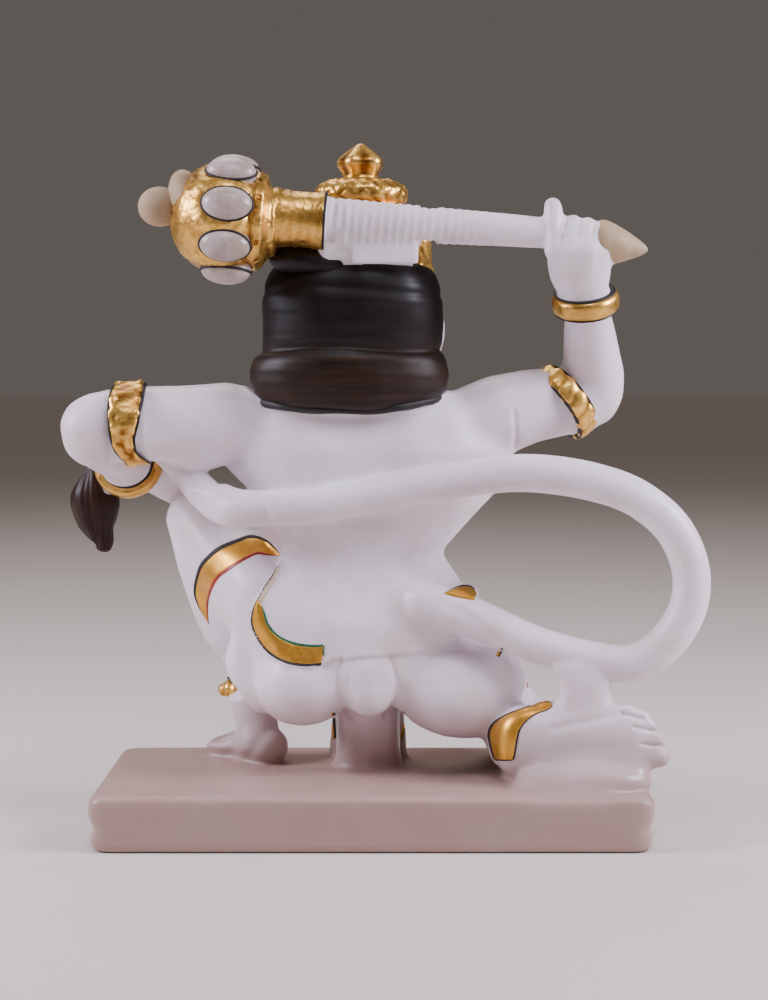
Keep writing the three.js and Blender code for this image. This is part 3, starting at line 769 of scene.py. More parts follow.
def sink_under_gilding(piece):
    """Draws the stone in a little where a gilded or painted piece lies over it, and under the tuft."""
    points = on_figure(points_of(piece))
    depth = np.zeros(len(points))
    for centre, half, deepest in COVERED:
        outside = np.max(np.abs(points - np.array(centre)) - np.array(half), axis=1)
        depth = np.maximum(depth, deepest * np.clip(-outside / 3, 0, 1))
    web = (np.abs(points[:, 0] - 1.5) < 28) & (points[:, 1] > 22)
    web &= (points[:, 2] > 284) & (points[:, 2] < 320)
    depth[web] = 0
    rim = np.interp(points[:, 2], [210, 218], [1.0, 1.08])
    hair_depth = 3.2 * np.clip((rim - within_rings(points, HAIR_LEVELS, HAIR_SQUARENESS)) / 0.05, 0, 1)
    hair_depth[web | ((points[:, 1] < -34) & (points[:, 2] < 272))] = 0
    depth = np.maximum(depth, hair_depth)
    points = points - normals_of(piece) * depth[:, None]
    tuft_stone = np.all(np.abs(points - np.array([162, -57, 141])) < [24, 20, 30], axis=1)
    x, y, z, wide, deep = np.array(TUFT_LEVELS).T
    held = points[tuft_stone]
    held[:, 2] = np.maximum(held[:, 2], 124)
    middle = np.stack([np.interp(held[:, 2], z, x), np.interp(held[:, 2], z, y)], 1)
    room = 0.8 * np.stack([np.interp(held[:, 2], z, wide), np.interp(held[:, 2], z, deep)], 1)
    away = held[:, :2] - middle
    far = np.maximum(np.linalg.norm(away / room, axis=1), 1e-6)[:, None]
    held[:, :2] = middle + away * np.minimum(1, 1 / far)
    points[tuft_stone] = held
    put_points(piece, in_frame(points))


MOST_TRIANGLES, QUICK_TRIANGLES = 192000, 70000
# Where the forms that are joined on run into the stone: the left thigh, the right one, the ledge, the tail
JOINS = [((69, 11, 62), 17), ((-67, 18, 58), 14), ((-104, 62, 4), 24), ((64, 30, 141), 12)]


def carved_marble():
    """The whole block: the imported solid's own form, rounded as hand-polished marble is."""
    coarse, fine = ((0.0014, 0.00095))
    block = frame["nodes"]["hanuman_figure"].copy()
    block.data = block.data.copy()
    bpy.context.scene.collection.objects.link(block)
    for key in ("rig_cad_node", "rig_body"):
        del block[key]
    block.parent = None
    select_only(block)
    bpy.ops.object.mode_set(mode="EDIT")
    bpy.ops.mesh.select_all(action="SELECT")
    bpy.ops.mesh.remove_doubles(threshold=1e-6)
    bpy.ops.object.mode_set(mode="OBJECT")
    modified(block, "REMESH", mode="VOXEL", voxel_size=coarse)
    soften(block, reach_at(on_figure(points_of(block))) * MM)
    put_points(block, in_frame(nudged(on_figure(points_of(block)))))
    block = joined(block, strand(TAIL, 40), strand(SHAFT, 40), web_form(), column_form(), *filling_forms(),
                   *face_forms(), *hand_and_foot_forms())
    modified(block, "REMESH", mode="VOXEL", voxel_size=fine)
    points = on_figure(points_of(block))
    joins = np.max([near(points, middle, radius, 10) for middle, radius in JOINS], axis=0)
    soften(block, (1.25 + 3.2 * joins) * MM)
    sink_under_gilding(block)
    carve(block)
    most = MOST_TRIANGLES
    modified(block, "DECIMATE", ratio=min(1, most / (2 * len(block.data.polygons))))
    return finished(block, "carved_marble", MARBLE)


# The hair, the crown and the tuft

HAIR_LEVELS = [
    (13, 5, 202.0, 0.1, 0.1), (13, 5, 202.0, 20, 14), (13, 5, 202.2, 34, 25), (13.4, 4, 204.6, 44.4, 33),
    (13.2, 3, 211, 52.6, 36.4), (13.1, 2, 221, 55.8, 38.6), (12.8, 2, 230, 54.4, 37.8),
    (11.4, 2, 236.6, 50.6, 34.6), (10.9, 2, 242, 50.6, 35.2), (10.6, 2, 252, 50.8, 36.4),
    (10.8, 2, 264, 50.2, 36.4), (10.6, 1, 275, 47.6, 34.6), (10.6, 0, 282, 42.6, 31), (11, 0, 285.2, 34, 24),
    (11, 0, 286, 22, 15), (11, 0, 286.1, 0.1, 0.1),
]
HAIR_SQUARENESS = 2.25


def hair():
    """Long hair rolled round the head in two folds, combed level, and dark brown."""
    piece = ringed(ring_levels(HAIR_LEVELS), segments=260, rings=190, power=HAIR_SQUARENESS)

    def combed(points):
        height = points[:, 2]
        strands = lumps(points * [0.04, 0.04, 1], 1.7, 3) * 0.1 + lumps(points * [0.08, 0.08, 1], 4, 4) * 0.14
        dents = lumps(points * [1, 1, 0.5], 17, 8) * 1.2
        furrow = 266.6 + 1.3 * np.sin(points[:, 0] / 13)
        pinch = -1.1 * np.exp(-(((height - furrow) / 1.7) ** 2))
        upper_fold = -0.7 * np.exp(-(((height - 298 - 2 * np.sin(points[:, 0] / 19)) / 2.4) ** 2))
        return strands + dents + pinch + upper_fold

    relief(piece, combed)
    swept = pebble((32, 16, 283.5), (25, 20, 10.5), (0, -8, 0), 64)
    keep_number(swept, "relief", np.zeros(len(swept.data.vertices)))
    return finished(joined(piece, swept), "hair", HAIR)


def hair_outline():
    """The thick black line that the painter drew where the hair meets the shoulders."""
    angles = np.linspace(0, 2 * math.pi, 140, endpoint=False)
    levels = np.array(HAIR_LEVELS)[2:8]
    line = []
    for a in angles:
        side = math.cos(a) * (1.0 if math.cos(a) < 0 else 0.82)
        lift = 7.2 * abs(side) ** 2.6 if math.sin(a) > -0.2 else 7.2 * abs(side)
        z = 202.6 + lift + 0.3 * math.sin(6 * a)
        wide, deep = (np.interp(z, levels[:, 2], levels[:, k]) for k in (3, 4))
        x, y = (math.copysign(abs(part) ** (2 / HAIR_SQUARENESS), part)
                for part in (math.cos(a), math.sin(a)))
        line.append((13.2 + (wide + 0.3) * x, 4 + (deep + 0.3) * y, z))
    radii = 2.1 + 0.3 * np.sin(7 * angles) + 0.5 * np.abs(np.cos(angles)) ** 3
    piece = rope(np.array(line), radii, 12, closed=True)
    return finished(piece, "hair_outline", BLACK)


CROWN_FOOT = (6.3, -5, 276)


def crown():
    """A gilded band and dome, a disc of leaves, and a faceted bud on top."""
    profile = [
        (0, 0.1), (0, 20), (0, 38), (1.5, 39.9), (5, 40.3), (7, 39.4), (9, 39.6), (19, 39.6), (22, 38.6),
        (30, 34.6), (36, 28), (39.6, 22.6), (40.8, 23), (43, 25.4), (46, 26), (49.5, 25.4), (52.6, 22),
        (54.4, 16.6), (55.2, 10.6), (57, 9.6), (59.6, 10.4), (63, 12.6), (66, 12.2), (69.5, 8.6), (73, 4.2),
        (74.6, 2), (75, 0.1),
    ]
    piece = ringed([(0, 0, z, r, r) for z, r in profile], segments=240, rings=230, finer=5)

    def chased(points):
        turn = np.arctan2(points[:, 1], points[:, 0])
        z = points[:, 2]
        bead = np.where(z < 7.5, 0.4 * np.abs(np.cos(18 * turn)), 0)
        leaves = np.where((z > 9) & (z < 30), 0.55 * np.cos(9 * turn) * np.sin((z - 9) / 21 * math.pi)
                          + 0.25 * np.cos(27 * turn + z), 0)
        rim = (z > 40.5) & (z < 54.5)
        curls = np.where(rim, 0.22 * np.cos(18 * turn + 2.2 * np.sin(z * 0.6))
                         + 0.34 * lumps(points * [1, 1, 1.3], 2.0, 13), 0)
        facets = np.where(z > 57, 0.75 * np.cos(5 * turn + 0.6) * np.clip((74 - z) / 8, 0, 1), 0)
        calm = np.where(z > 56, 0.35, 1)
        tooling = calm * (0.2 * lumps(points, 3.1, 1) + 0.14 * lumps(points, 1.5, 2))
        return bead + leaves + curls + facets + tooling

    relief(piece, chased)
    points = points_of(piece)
    points[:, 1] *= np.where(points[:, 1] > 0, 0.88, 1)
    put_points(piece, points)
    piece.data.transform(Matrix.Translation(at(*CROWN_FOOT)))
    return finished(piece, "crown", GOLD)


def crown_plate():
    """The peaked plate on the crown's front, with a red stone."""
    leaf = ringed([(0, 0, z, w, d) for z, w, d in [
        (0, 0.1, 0.1), (0.4, 12, 3), (6, 15.5, 4.4), (14, 16.4, 4.8), (23, 13.4, 4.6), (32, 7.6, 3.8),
        (38, 3.4, 2.6), (40.5, 1.2, 1.2), (41, 0.1, 0.1)]], segments=96, rings=80, power=2.6)

    def rayed(points):
        turn = np.arctan2(points[:, 2] - 15, points[:, 0])
        away = np.hypot(points[:, 0], points[:, 2] - 15)
        return 0.5 * np.cos(12 * turn) * np.clip((away - 6) / 3, 0, 1) + 0.25 * lumps(points, 2.5, 6)

    relief(leaf, rayed)
    leaf.data.transform(Matrix.Translation(at(6.3, -46.5, 277.5)))
    finished(leaf, "crown_plate", GOLD)
    finished(pebble((6.3, -50.8, 292.5), (4.2, 2.6, 5.4)), "crown_stone", RED)


TUFT_LEVELS = [
    (158.8, -57, 118.2, 0.1, 0.1), (158.8, -57, 118.8, 2.6, 2.8), (158.8, -57, 120, 3.9, 4),
    (158.7, -57, 123.3, 5.2, 5), (160.6, -57, 126.8, 7.4, 6.6), (162.9, -57, 132.2, 9.8, 8.4),
    (163.2, -57, 137, 12, 10.2), (163.6, -57, 144, 14, 11.4), (164, -57, 149, 14.2, 11.6),
    (164.3, -57, 154, 13, 11), (163.8, -57, 160, 10, 9.4), (162.4, -57, 166, 7.4, 7.6),
    (161, -56, 172, 6.2, 6.6), (160, -55, 176, 5.6, 6), (160, -55, 177, 0.1, 0.1),
]


def tuft():
    """The dark tuft at the tail's end, combed down to a bent tip."""
    piece = ringed(ring_levels(TUFT_LEVELS), rings=110)

    def combed(points):
        turn = np.arctan2(points[:, 1] + 62, points[:, 0] - 162)
        return 0.3 * np.cos(7 * turn + points[:, 2] / 9) + 0.16 * np.cos(23 * turn + points[:, 2] / 6)

    relief(piece, combed)
    return finished(piece, "tail_tuft", TUFT)


# The mace

MACE_HEAD = at(81.5, 32, 306.4)
MACE_AXIS = (at(112.5, 32, 311.5) - at(25.6, 32, 305)).normalized()
MACE_UP = MACE_AXIS.cross(Vector((0, 1, 0))).normalized()
MACE_BACK = MACE_UP.cross(MACE_AXIS)
BOSS_COUNT = 8
FIRST_BOSS = math.radians(12)


def on_mace(piece, shift=0.0, turn=0.0, out=0.0):
    """Lays a piece made upright at the origin along the mace, its X turned from the mace's back."""
    frame_of_mace = Matrix((MACE_BACK, MACE_UP, MACE_AXIS)).transposed().to_4x4()
    slide = Matrix.Translation(MACE_HEAD + MACE_AXIS * shift * MM)
    spin = Matrix.Rotation(turn, 4, "Z") @ Matrix.Translation((out * MM, 0, 0))
    piece.data.transform(slide @ frame_of_mace @ spin)
    return piece


def mace_head():
    """The gilded head of the mace: a round pot with a tooled ring towards the shaft."""
    profile = [
        (-31, 0.1), (-30.5, 12), (-30, 17.4), (-27, 19), (-24.5, 22.6), (-23.4, 25), (-20.5, 26.6),
        (-18.4, 26.4), (-17, 25.6), (-13, 28), (-6, 30), (2, 29.8), (9, 28), (15, 24.8),
        (20, 20.4), (23.6, 15), (26, 9), (27.4, 3.4), (27.6, 0.1),
    ]
    piece = ringed([(0, 0, z, r, r) for z, r in profile], segments=220, rings=150, finer=5)

    def tooled(points):
        turn = np.arctan2(points[:, 1], points[:, 0])
        z = points[:, 2]
        ribs = np.where(np.abs(z + 5) < 20, 0.6 * np.cos(BOSS_COUNT * (turn - FIRST_BOSS) + math.pi)
                        * np.cos((z + 5) / 20 * math.pi / 2), 0)
        notches = np.where(np.abs(z + 21.2) < 1.3, -0.55 * (np.cos(13 * turn + 0.5) > 0.8), 0)
        return ribs + notches + 0.4 * lumps(points, 5, 11) + 0.16 * lumps(points, 1.7, 12)

    relief(piece, tooled)
    return finished(on_mace(piece), "mace_head", GOLD)


def mace_bosses():
    """Eight polished marble ovals set round the head, each edged with a black line."""
    bosses, rims = [], []
    for i in range(BOSS_COUNT):
        turn = FIRST_BOSS + i * 2 * math.pi / BOSS_COUNT
        boss = ringed([(0, 0, z, w, d) for z, w, d in [
            (-4, 0.1, 0.1), (-4, 12, 8), (-3, 13.2, 8.9), (0, 13.6, 9.2), (2.6, 13.1, 8.8), (5, 11.4, 7.6),
            (7, 8, 5.2), (8.1, 3.6, 2.4), (8.3, 0.1, 0.1)]], segments=72, rings=40)
        rim = hoop(1, 1, 1, segments=96, section=12, power=2)
        points = points_of(rim) / MM
        reach = np.maximum(np.linalg.norm(points[:, :2], axis=1), 1e-6)
        side = points[:, :2] / reach[:, None]
        swell = 0.75 * (reach - 1)
        put_points(rim, np.stack([side[:, 0] * (13.6 + swell), side[:, 1] * (9.2 + swell),
                                  points[:, 2] * 1.6 + 1.3], 1) * MM)
        for piece, row in ((boss, bosses), (rim, rims)):
            piece.data.transform(Matrix.Rotation(math.radians(90), 4, "Y"))
            row.append(on_mace(piece, -5, turn, 27.6))
    finished(joined(*bosses), "mace_ovals", OVAL)
    finished(joined(*rims), "mace_oval_lines", BLACK)


def mace_ends():
    """The buff knob and calyx before the head, the buff point behind the fist, and the gilded collar."""
    finished(pebble((114.6, 32, 312.8), (11.8, 10.6, 10.8)), "mace_knob", BUFF)
    calyx = pebble((97.5, 32, 313.5), (11, 17, 20), (0, 20, 0))
    finished(calyx, "mace_calyx", BUFF)
    collar = ringed([(0, 0, z, r, r) for z, r in [
        (-0.2, 0.1), (-0.2, 12), (-0.2, 15.6), (2, 16), (4.4, 15.4), (8, 15), (15, 15), (20, 15.3),
        (24, 15.8), (27, 16.4), (29.6, 15.6), (31, 13), (31.4, 0.1)]], segments=160, rings=110)

    def ringmarks(points):
        z = points[:, 2]
        return (0.08 * np.cos(z * 1.25) + 0.25 * lumps(points * [1, 1, 0.5], 5, 21)
                + 0.12 * lumps(points * [1, 1, 2.5], 1.8, 22))

    relief(collar, ringmarks)
    turned_to(collar, at(25.6, 32, 305), MACE_AXIS)
    finished(collar, "mace_collar", GOLD)
    line = hoop(15.4, 1.5, 1.0, segments=96, section=10)
    turned_to(line, at(25.4, 32, 305), MACE_AXIS)
    finished(line, "mace_collar_line", BLACK)
    point = ringed([(0, 0, z, r, r) for z, r in [
        (-3, 0.1), (-3, 9), (-1, 11.8), (2, 12.6), (6, 11.8), (14, 8.8), (21, 5.4), (26, 2.4),
        (27.8, 0.1)]], segments=72, rings=60)
    turned_to(point, at(-122, 32, 293.6), at(-149.4, 32, 289.5) - at(-122, 32, 293.6))
    finished(point, "mace_point", BUFF)


# Armlets, bracelets and anklets

def ornament(name, place, axis, radius, width, height, chase, shape=None, line_wide=1.2, line_radius=None):
    """A gilded ring with a black line along each edge: close to the skin where line_radius is given."""
    ring = relief(hoop(radius, width, height), chase)
    turned_to(ring, at(*place), axis)
    lines = []
    for side in (-1, 1):
        line = hoop(line_radius or radius, line_wide, 0.9 if line_radius else height * 0.6 + 0.35,
                    segments=120, section=10)
        shift = Vector(axis).normalized() * (side * (width / 2 - 0.1) * MM)
        lines.append(turned_to(line, at(*place) + shift, axis))
    parts = [(ring, name, GOLD), (joined(*lines), f"{name}_lines", BLACK)]
    for piece, part, finish in parts:
        if shape:
            put_points(piece, in_frame(shape(on_figure(points_of(piece)))))
        finished(piece, part, finish)


def jewellery():
    """Gilded armlets, bangle, bracelet and anklet bell, and the studs in the ears."""
    def chased(points):
        turn = np.arctan2(points[:, 1], points[:, 0])
        rim = 0.5 * np.exp(-(((np.abs(points[:, 2]) - 7.4) / 1.2) ** 2))
        return (0.9 * lumps(points * [0.8, 0.8, 1.3], 4.2, 31) + 0.5 * lumps(points, 2, 32) + rim
                + 0.25 * np.cos(15 * turn) * np.cos(points[:, 2] / 2.2))

    def scaled(points):
        turn = np.arctan2(points[:, 1], points[:, 0])
        return 1.0 * np.abs(np.cos(6.5 * turn + 0.12 * points[:, 2])) - 0.35 + 0.35 * lumps(points, 2.8, 33)

    def smooth_round(points):
        return 0.22 * lumps(points, 6, 34) + 0.1 * lumps(points, 2, 35)

    def narrowed(points):
        z = [174, 177, 180, 183, 187, 191, 196, 202, 208, 213, 217]
        middle = np.interp(points[:, 2], z, [131, 134, 136, 136.6, 137, 136.7, 136, 135.6, 134.6, 134, 133.6])
        half = np.interp(points[:, 2], z, [6.2, 5.6, 5.6, 6, 6.4, 7.2, 8, 8.6, 9.2, 9, 8.4])
        points[:, 0] = middle + (points[:, 0] - 136) / 9.25 * half
        return points

    ornament("left_armlet", (136, 8, 195), (1, 0.03, -0.05), 20.9, 18.5, 2.7, chased, narrowed, 1.5)
    ornament("right_armlet", (-108, -11, 207), (-0.77, -0.25, 0.6), 20.2, 12, 2.4, scaled)
    ornament("left_bangle", (142, -43, 170.5), (-0.12, -0.94, -0.3), 16.4, 8.4, 4, smooth_round,
             line_radius=15)
    ornament("right_bracelet", (-117.2, 17, 262.5), (0.1, 0.4, 0.9), 13.8, 11.4, 4.8, smooth_round)
    bell = joined(pebble((79.4, -35, 39.4), (5, 8.6, 6.6)),
                  pebble((83, -35.2, 40), (4.2, 6.2, 5.2), (0, 14, 0)),
                  pebble((86.6, -35.6, 39.4), (3.4, 4.2, 3.8)))
    # An even relief of 0.2, which the gold finish paints in the bright colour of its painted crest highlight.
    keep_number(bell, "relief", np.full(len(bell.data.vertices), 0.2))
    finished(bell, "anklet_bell", GOLD)
    cords = joined(rope([(82.5, -34, 32.2), (79, -30, 32.8), (73, -27, 34.6)], 1.0),
                   rope([(84, -34, 46.6), (82, -32, 45.8), (80, -30, 44.8)], 0.9))
    finished(cords, "anklet_cords", BLACK)
    for side, name in ((1, "left"), (-1, "right")):
        stud = pebble((10 + 47.5 * side, -29.5, 224), (5.4, 5.2, 6.4), segments=48)
        relief(stud, lambda points: 0.35 * lumps(points, 2.4, 36))
        finished(stud, f"{name}_ear_stud", GOLD)


# Painted bands

# How many of the photograph's pixels a millimetre takes, and how far paint stands off the stone, in mm
PIXELS_PER_MM = 1.8
GOLD_SKIN, LINE_SKIN = 0.14, 0.24


def stone_surface(piece):
    """The block's surface, for laying paint on it."""
    return BVHTree.FromPolygons(points_of(piece).tolist(), [face.vertices[:] for face in piece.data.polygons])


def from_eye(surface, spot):
    """The place on the stone that the photograph shows at a pixel, and the way out from it."""
    aim = Vector(((MIDDLE_X - spot[0]) / FOCAL, -1, (MIDDLE_Y - spot[1]) / FOCAL))
    c, s = math.cos(EYE_PITCH), math.sin(EYE_PITCH)
    aim = Vector((aim.x, aim.y * c + aim.z * s, aim.z * c + aim.y * s)).normalized()
    return surface.ray_cast(Vector(EYE) * MM, aim)[:2]


def from_front(surface, spot):
    """The place on the stone met from straight in front of an x and z in mm on the figure."""
    return surface.ray_cast(at(spot[0], -200, spot[1]), Vector((0, 1, 0)))[:2]


def from_left(surface, spot):
    """The place on the stone met from the figure's left of a y and z in mm on the figure."""
    return surface.ray_cast(at(300, spot[0], spot[1]), Vector((-1, 0, 0)))[:2]


def from_right(surface, spot):
    return surface.ray_cast(at(-300, spot[0], spot[1]), Vector((1, 0, 0)))[:2]


def film(rows, lift, swell=0.0):
    """A skin of paint over a grid of places on the stone, lift mm off it and sunk at its edges."""
    across = len(rows[0])
    rise = lift + swell * np.sin(np.linspace(0, math.pi, across))
    vertices = [place + normal * rise[j] * MM for row in rows for j, (place, normal) in enumerate(row)]
    outer = len(vertices)
    vertices += [place - normal * 0.4 * MM for row in rows for place, normal in row]
    faces = []
    for i in range(len(rows) - 1):
        for j in range(across - 1):
            a, b = i * across + j, (i + 1) * across + j
            faces.append((a, a + 1, b + 1, b))
            faces.append((outer + a, outer + b, outer + b + 1, outer + a + 1))
    last = len(rows) - 1
    border = ([(0, j) for j in range(across)] + [(i, across - 1) for i in range(1, last + 1)]
              + [(last, j) for j in range(across - 2, -1, -1)] + [(i, 0) for i in range(last - 1, -1, -1)])
    for (i, j), (k, l) in zip(border[:-1], border[1:]):
        a, b = i * across + j, k * across + l
        faces.append((b, a, outer + a, outer + b))
    mesh = bpy.data.meshes.new("film")
    mesh.from_pydata([tuple(v) for v in vertices], [], faces)
    piece = bpy.data.objects.new("film", mesh)
    bpy.context.scene.collection.objects.link(piece)
    select_only(piece)
    bpy.ops.object.mode_set(mode="EDIT")
    bpy.ops.mesh.select_all(action="SELECT")
    bpy.ops.mesh.normals_make_consistent(inside=False)
    bpy.ops.object.mode_set(mode="OBJECT")
    return piece


def whole_runs(rows, widest, longest):
    """The rows without those that miss the stone, graze it or leap, parted where the stone falls away."""
    runs = [[]]
    for row in rows:
        places = [place for place, _ in row]
        fits = all(place is not None for place in places) and all(
            (one - other).length < widest * MM for one, other in zip(places[:-1], places[1:]))
        if fits and runs[-1]:
            steps = [(one[0] - other[0]).length for one, other in zip(runs[-1][-1], row)]
            if max(steps) > longest * MM:
                runs.append([])
        if fits:
            runs[-1].append(row)
        elif runs[-1]:
            runs.append([])
    return [run for run in runs if len(run) > 2]


class Painter:
    """Lays strips of paint on the stone, and gathers each colour of a band into one piece."""

    def __init__(self, stone):
        self.surface = stone_surface(stone)

    def laid(self, name, rows, lift, swell, finish, slack=1):
        """The runs of rows as one piece of paint, with steps of 3 and 5 mm at most, times the slack."""
        films = [film(run, lift, swell) for run in whole_runs(rows, 3 * slack, 5 * slack)]
        if films:
            finished(joined(*films), name, finish)

    def band(self, name, cast, one_edge, other_edge, stripes, step=0.7, even=False):
        """A painted band between two lines on the stone, split across into stripes of paint."""
        one, other = (np.array(edge, float) if even else smooth_line(edge)
                      for edge in (one_edge, other_edge))
        scale = PIXELS_PER_MM if cast is from_eye else 1.0
        length = np.linalg.norm(np.diff(one, axis=0), axis=1).sum() / scale
        count = max(6, int(length / step))
        one, other = evenly(one, count), evenly(other, count)
        width = np.linalg.norm(one - other, axis=1).mean() / scale
        for part, (low, high, lift, swell, finish) in stripes.items():
            shares = np.linspace(low, high, max(2, int((high - low) * width / 0.6) + 2))
            rows = [[cast(self.surface, a + (b - a) * share) for share in shares]
                    for a, b in zip(one, other)]
            self.laid(f"{name}_{part}", rows, lift, swell, finish, 3 if cast is from_eye else 1)

    def oval(self, name, middle, half_wide, half_high, lift, finish, count=25):
        """A painted oval seen from the front."""
        turn = np.linspace(0, math.pi, count)
        x = middle[0] - half_wide * np.cos(turn)
        rise = half_high * np.sin(turn)
        rows = [[from_front(self.surface, (spot_x, middle[1] + half * share))
                 for share in np.linspace(-1, 1, 9)] for spot_x, half in zip(x, rise)]
        self.laid(name, rows, lift, 0, finish)


def edged(outer=BLACK, inner=None, swell=0.0, outer_wide=0.1, inner_wide=0.1):
    """The stripes of a gold band with a painted line along one or both of its edges."""
    stripes = {"gold": (0, 1, GOLD_SKIN, swell, FLAT_GOLD),
               "outer_line": (-outer_wide, 0.03, LINE_SKIN, 0, outer)}
    if inner:
        stripes["inner_line"] = (0.97, 1 + inner_wide, LINE_SKIN, 0, inner)
    return stripes


def back_bands(paint):
    """The gilded edges of the cloth and the anklet on the sides that the photograph shows."""
    paint.band("left_thigh_hem", from_eye,
               [(204.5, 621), (197.6, 607), (194.5, 592), (200, 570), (209, 558.5), (220.5, 549.6),
                (238, 542), (251, 538), (264, 541), (274, 548.5), (280, 556)],
               [(207.3, 626), (205.8, 614), (206.2, 601), (210.5, 587.5), (217, 577), (226, 570), (238, 562),
                (249, 556), (257, 553.2), (266, 554.4), (279.5, 556.6)],
               edged(inner=RED, outer_wide=0.16, inner_wide=0.12))
    # Painted shade: a cream strip where the sash's upper edge turns under, with a black line along its outer
    # side.
    paint.band("sash_edge_shade", from_eye,
               [(277.5, 566), (271, 578), (264, 588), (256.8, 601)],
               [(279.5, 567), (274.4, 580), (268, 591), (260, 604)],
               {"cream": (0, 1, 0.3, 0, CREAM), "outer_line": (-0.1, 0.08, 0.45, 0, BLACK)})
    paint.band("hip_sash", from_eye,
               [(256.5, 601), (252.4, 613), (252, 627), (258.6, 642), (269, 654.5), (284, 663.5), (302, 667),
                (321, 666)],
               [(258.8, 603), (262.8, 614.5), (266.6, 627), (276.5, 638.7), (291.8, 646.3), (307, 648.9),
                (315, 649.2), (322.5, 648.6)],
               {"gold": (0, 1, 0.25, 0.7, FLAT_GOLD), "outer_line": (-0.12, 0.03, 0.3, 0, BLACK),
                "inner_line": (0.97, 1.12, 0.3, 0, GREEN)})
    paint.band("hip_sash_end", from_eye, [(320.8, 658), (321.2, 653), (321.6, 648)],
               [(323.6, 658), (323.8, 653), (324, 648)], {"green": (0, 1, 0.3, 0, GREEN)}, step=0.4)
    paint.band("right_anklet", from_eye,
               [(552, 705.8), (543, 706), (534, 709.6), (522, 714), (510, 719), (500, 725), (494, 731),
                (491.6, 740), (493, 750), (494.6, 757), (497, 765)],
               [(554.5, 710), (549, 714), (538, 718), (528, 725), (521.5, 733), (519, 740), (517.6, 748),
                (516.4, 756), (516, 759), (515.6, 762), (514.6, 765.4)],
               {"gold": (0, 1, 0.3, 0.8, FLAT_GOLD), "outer_line": (-0.09, 0.03, 0.3, 0, BLACK),
                "inner_line": (0.97, 1.07, 0.3, 0, BLACK)})
    paint.band("right_anklet_end", from_eye, [(497, 764), (505, 764.4), (514, 764.4)],
               [(497, 766.2), (505, 766.6), (514, 766.4)], {"black": (0, 1, 0.3, 0, BLACK)}, step=0.4)
    paint.band("right_thigh_hem", from_eye, [(528.4, 675), (529.2, 683), (529, 691)],
               [(530, 675), (531.6, 683), (532.4, 691)], edged(outer=RED, outer_wide=0.3), step=0.4)
    paint.band("hip_tassel", from_eye, [(497, 659), (499, 653), (500.5, 650)],
               [(500, 659.4), (502.6, 654), (503.6, 650)],
               {"gold": (0, 1, GOLD_SKIN, 0, FLAT_GOLD), "black": (0.7, 1.2, LINE_SKIN, 0, BLACK)}, step=0.4)
    paint.band("waist_belt_side", from_eye,
               [(445, 594.4), (452, 591), (462, 588), (470, 588.4), (475, 591.4)],
               [(445.6, 595.4), (452, 597.4), (462, 599.6), (470, 601), (475, 601.6)],
               {"gold": (0, 1, 0.3, 1.2, FLAT_GOLD), "outer_line": (-0.14, 0.04, 0.3, 0, BLACK)}, step=0.4)
    paint.band("pleat_edge_left", from_eye, [(330.6, 717), (331, 730), (332, 745)],
               [(334.6, 717), (335, 730), (336, 744)],
               {"brown": (0.3, 1, GOLD_SKIN, 0, BLACK), "gold": (0, 0.4, LINE_SKIN, 0, FLAT_GOLD)}, step=0.5)
    paint.band("pleat_knot_left", from_eye, [(335, 718), (335.5, 723)], [(339, 718), (338.6, 723)],
               {"green": (0, 1, LINE_SKIN, 0, GREEN)}, step=0.3)
    paint.band("pleat_edge_right", from_eye, [(404.6, 716), (405, 730), (402, 745)],
               [(402, 716), (402.5, 730), (400, 744)],
               {"gold": (0, 1, GOLD_SKIN, 0, FLAT_GOLD), "green": (-0.3, 0.1, LINE_SKIN, 0, GREEN)}, step=0.5)


def front_bands(paint):
    """The cloth's edges, the belt and the cord on the sides that the photograph doesn't show."""
    paint.band("groin_hem", from_front, [(50, 121), (41, 108), (34, 95), (28, 80)],
               [(44, 124), (34, 111), (27, 97), (21, 82)], edged(inner=RED))
    paint.band("right_knee_hem", from_front,
               [(-99, 43), (-91, 55), (-77, 63), (-62, 65), (-50, 59), (-42, 46)],
               [(-98, 33), (-91, 45), (-77, 54), (-63, 56), (-53, 50), (-46, 38)], edged(inner=RED))
    paint.band("left_anklet", from_front, [(58, 45), (74, 44), (92, 46)], [(58, 37), (74, 36), (91, 38)],
               edged(inner=BLACK))
    for name, side in (("right", -1), ("left", 1)):
        outer, inner = ([(3 + side * (away + far), z) for away, z in ((22, 74), (23.5, 40), (24, 8))]
                        for far in (0, -4))
        paint.band(f"pleats_border_{name}", from_front, outer, inner,
                   edged(inner=GREEN, outer_wide=0.2, inner_wide=0.2))
    paint.band("pleats_foot", from_front, [(-19, 3), (3, 2.4), (25, 3)], [(-19, 8.4), (3, 7.8), (25, 8.4)],
               edged(inner=RED))
    paint.band("belt", from_front, [(-47, 110), (-24, 104), (4, 101.5), (26, 103.5), (40, 107)],
               [(-47, 119), (-24, 113.5), (4, 111), (26, 113), (40, 116)], edged(inner=BLACK, swell=0.8))
    paint.band("sacred_cord", from_front, [(49, 207), (34, 190), (12, 168), (-12, 145), (-34, 122)],
               [(46.6, 208), (31.6, 191), (9.8, 169), (-14, 146), (-36, 123)],
               {"gold": (0, 1, 0.3, 0.4, FLAT_GOLD), "red": (0.9, 1.5, 0.2, 0, RED)})
    line = {"gold": (0, 1, GOLD_SKIN, 0, FLAT_GOLD)}
    for name, z in (("upper", -3.2), ("lower", -24.4)):
        for side, cast, start, stop in (("front", from_front, -147, 141), ("left", from_left, -66, 64),
                                        ("right", from_right, -66, 64)):
            paint.band(f"plinth_{side}_{name}", cast, [(start, z), (stop, z)],
                       [(start, z - 2.4), (stop, z - 2.4)], line, step=2.5, even=True)


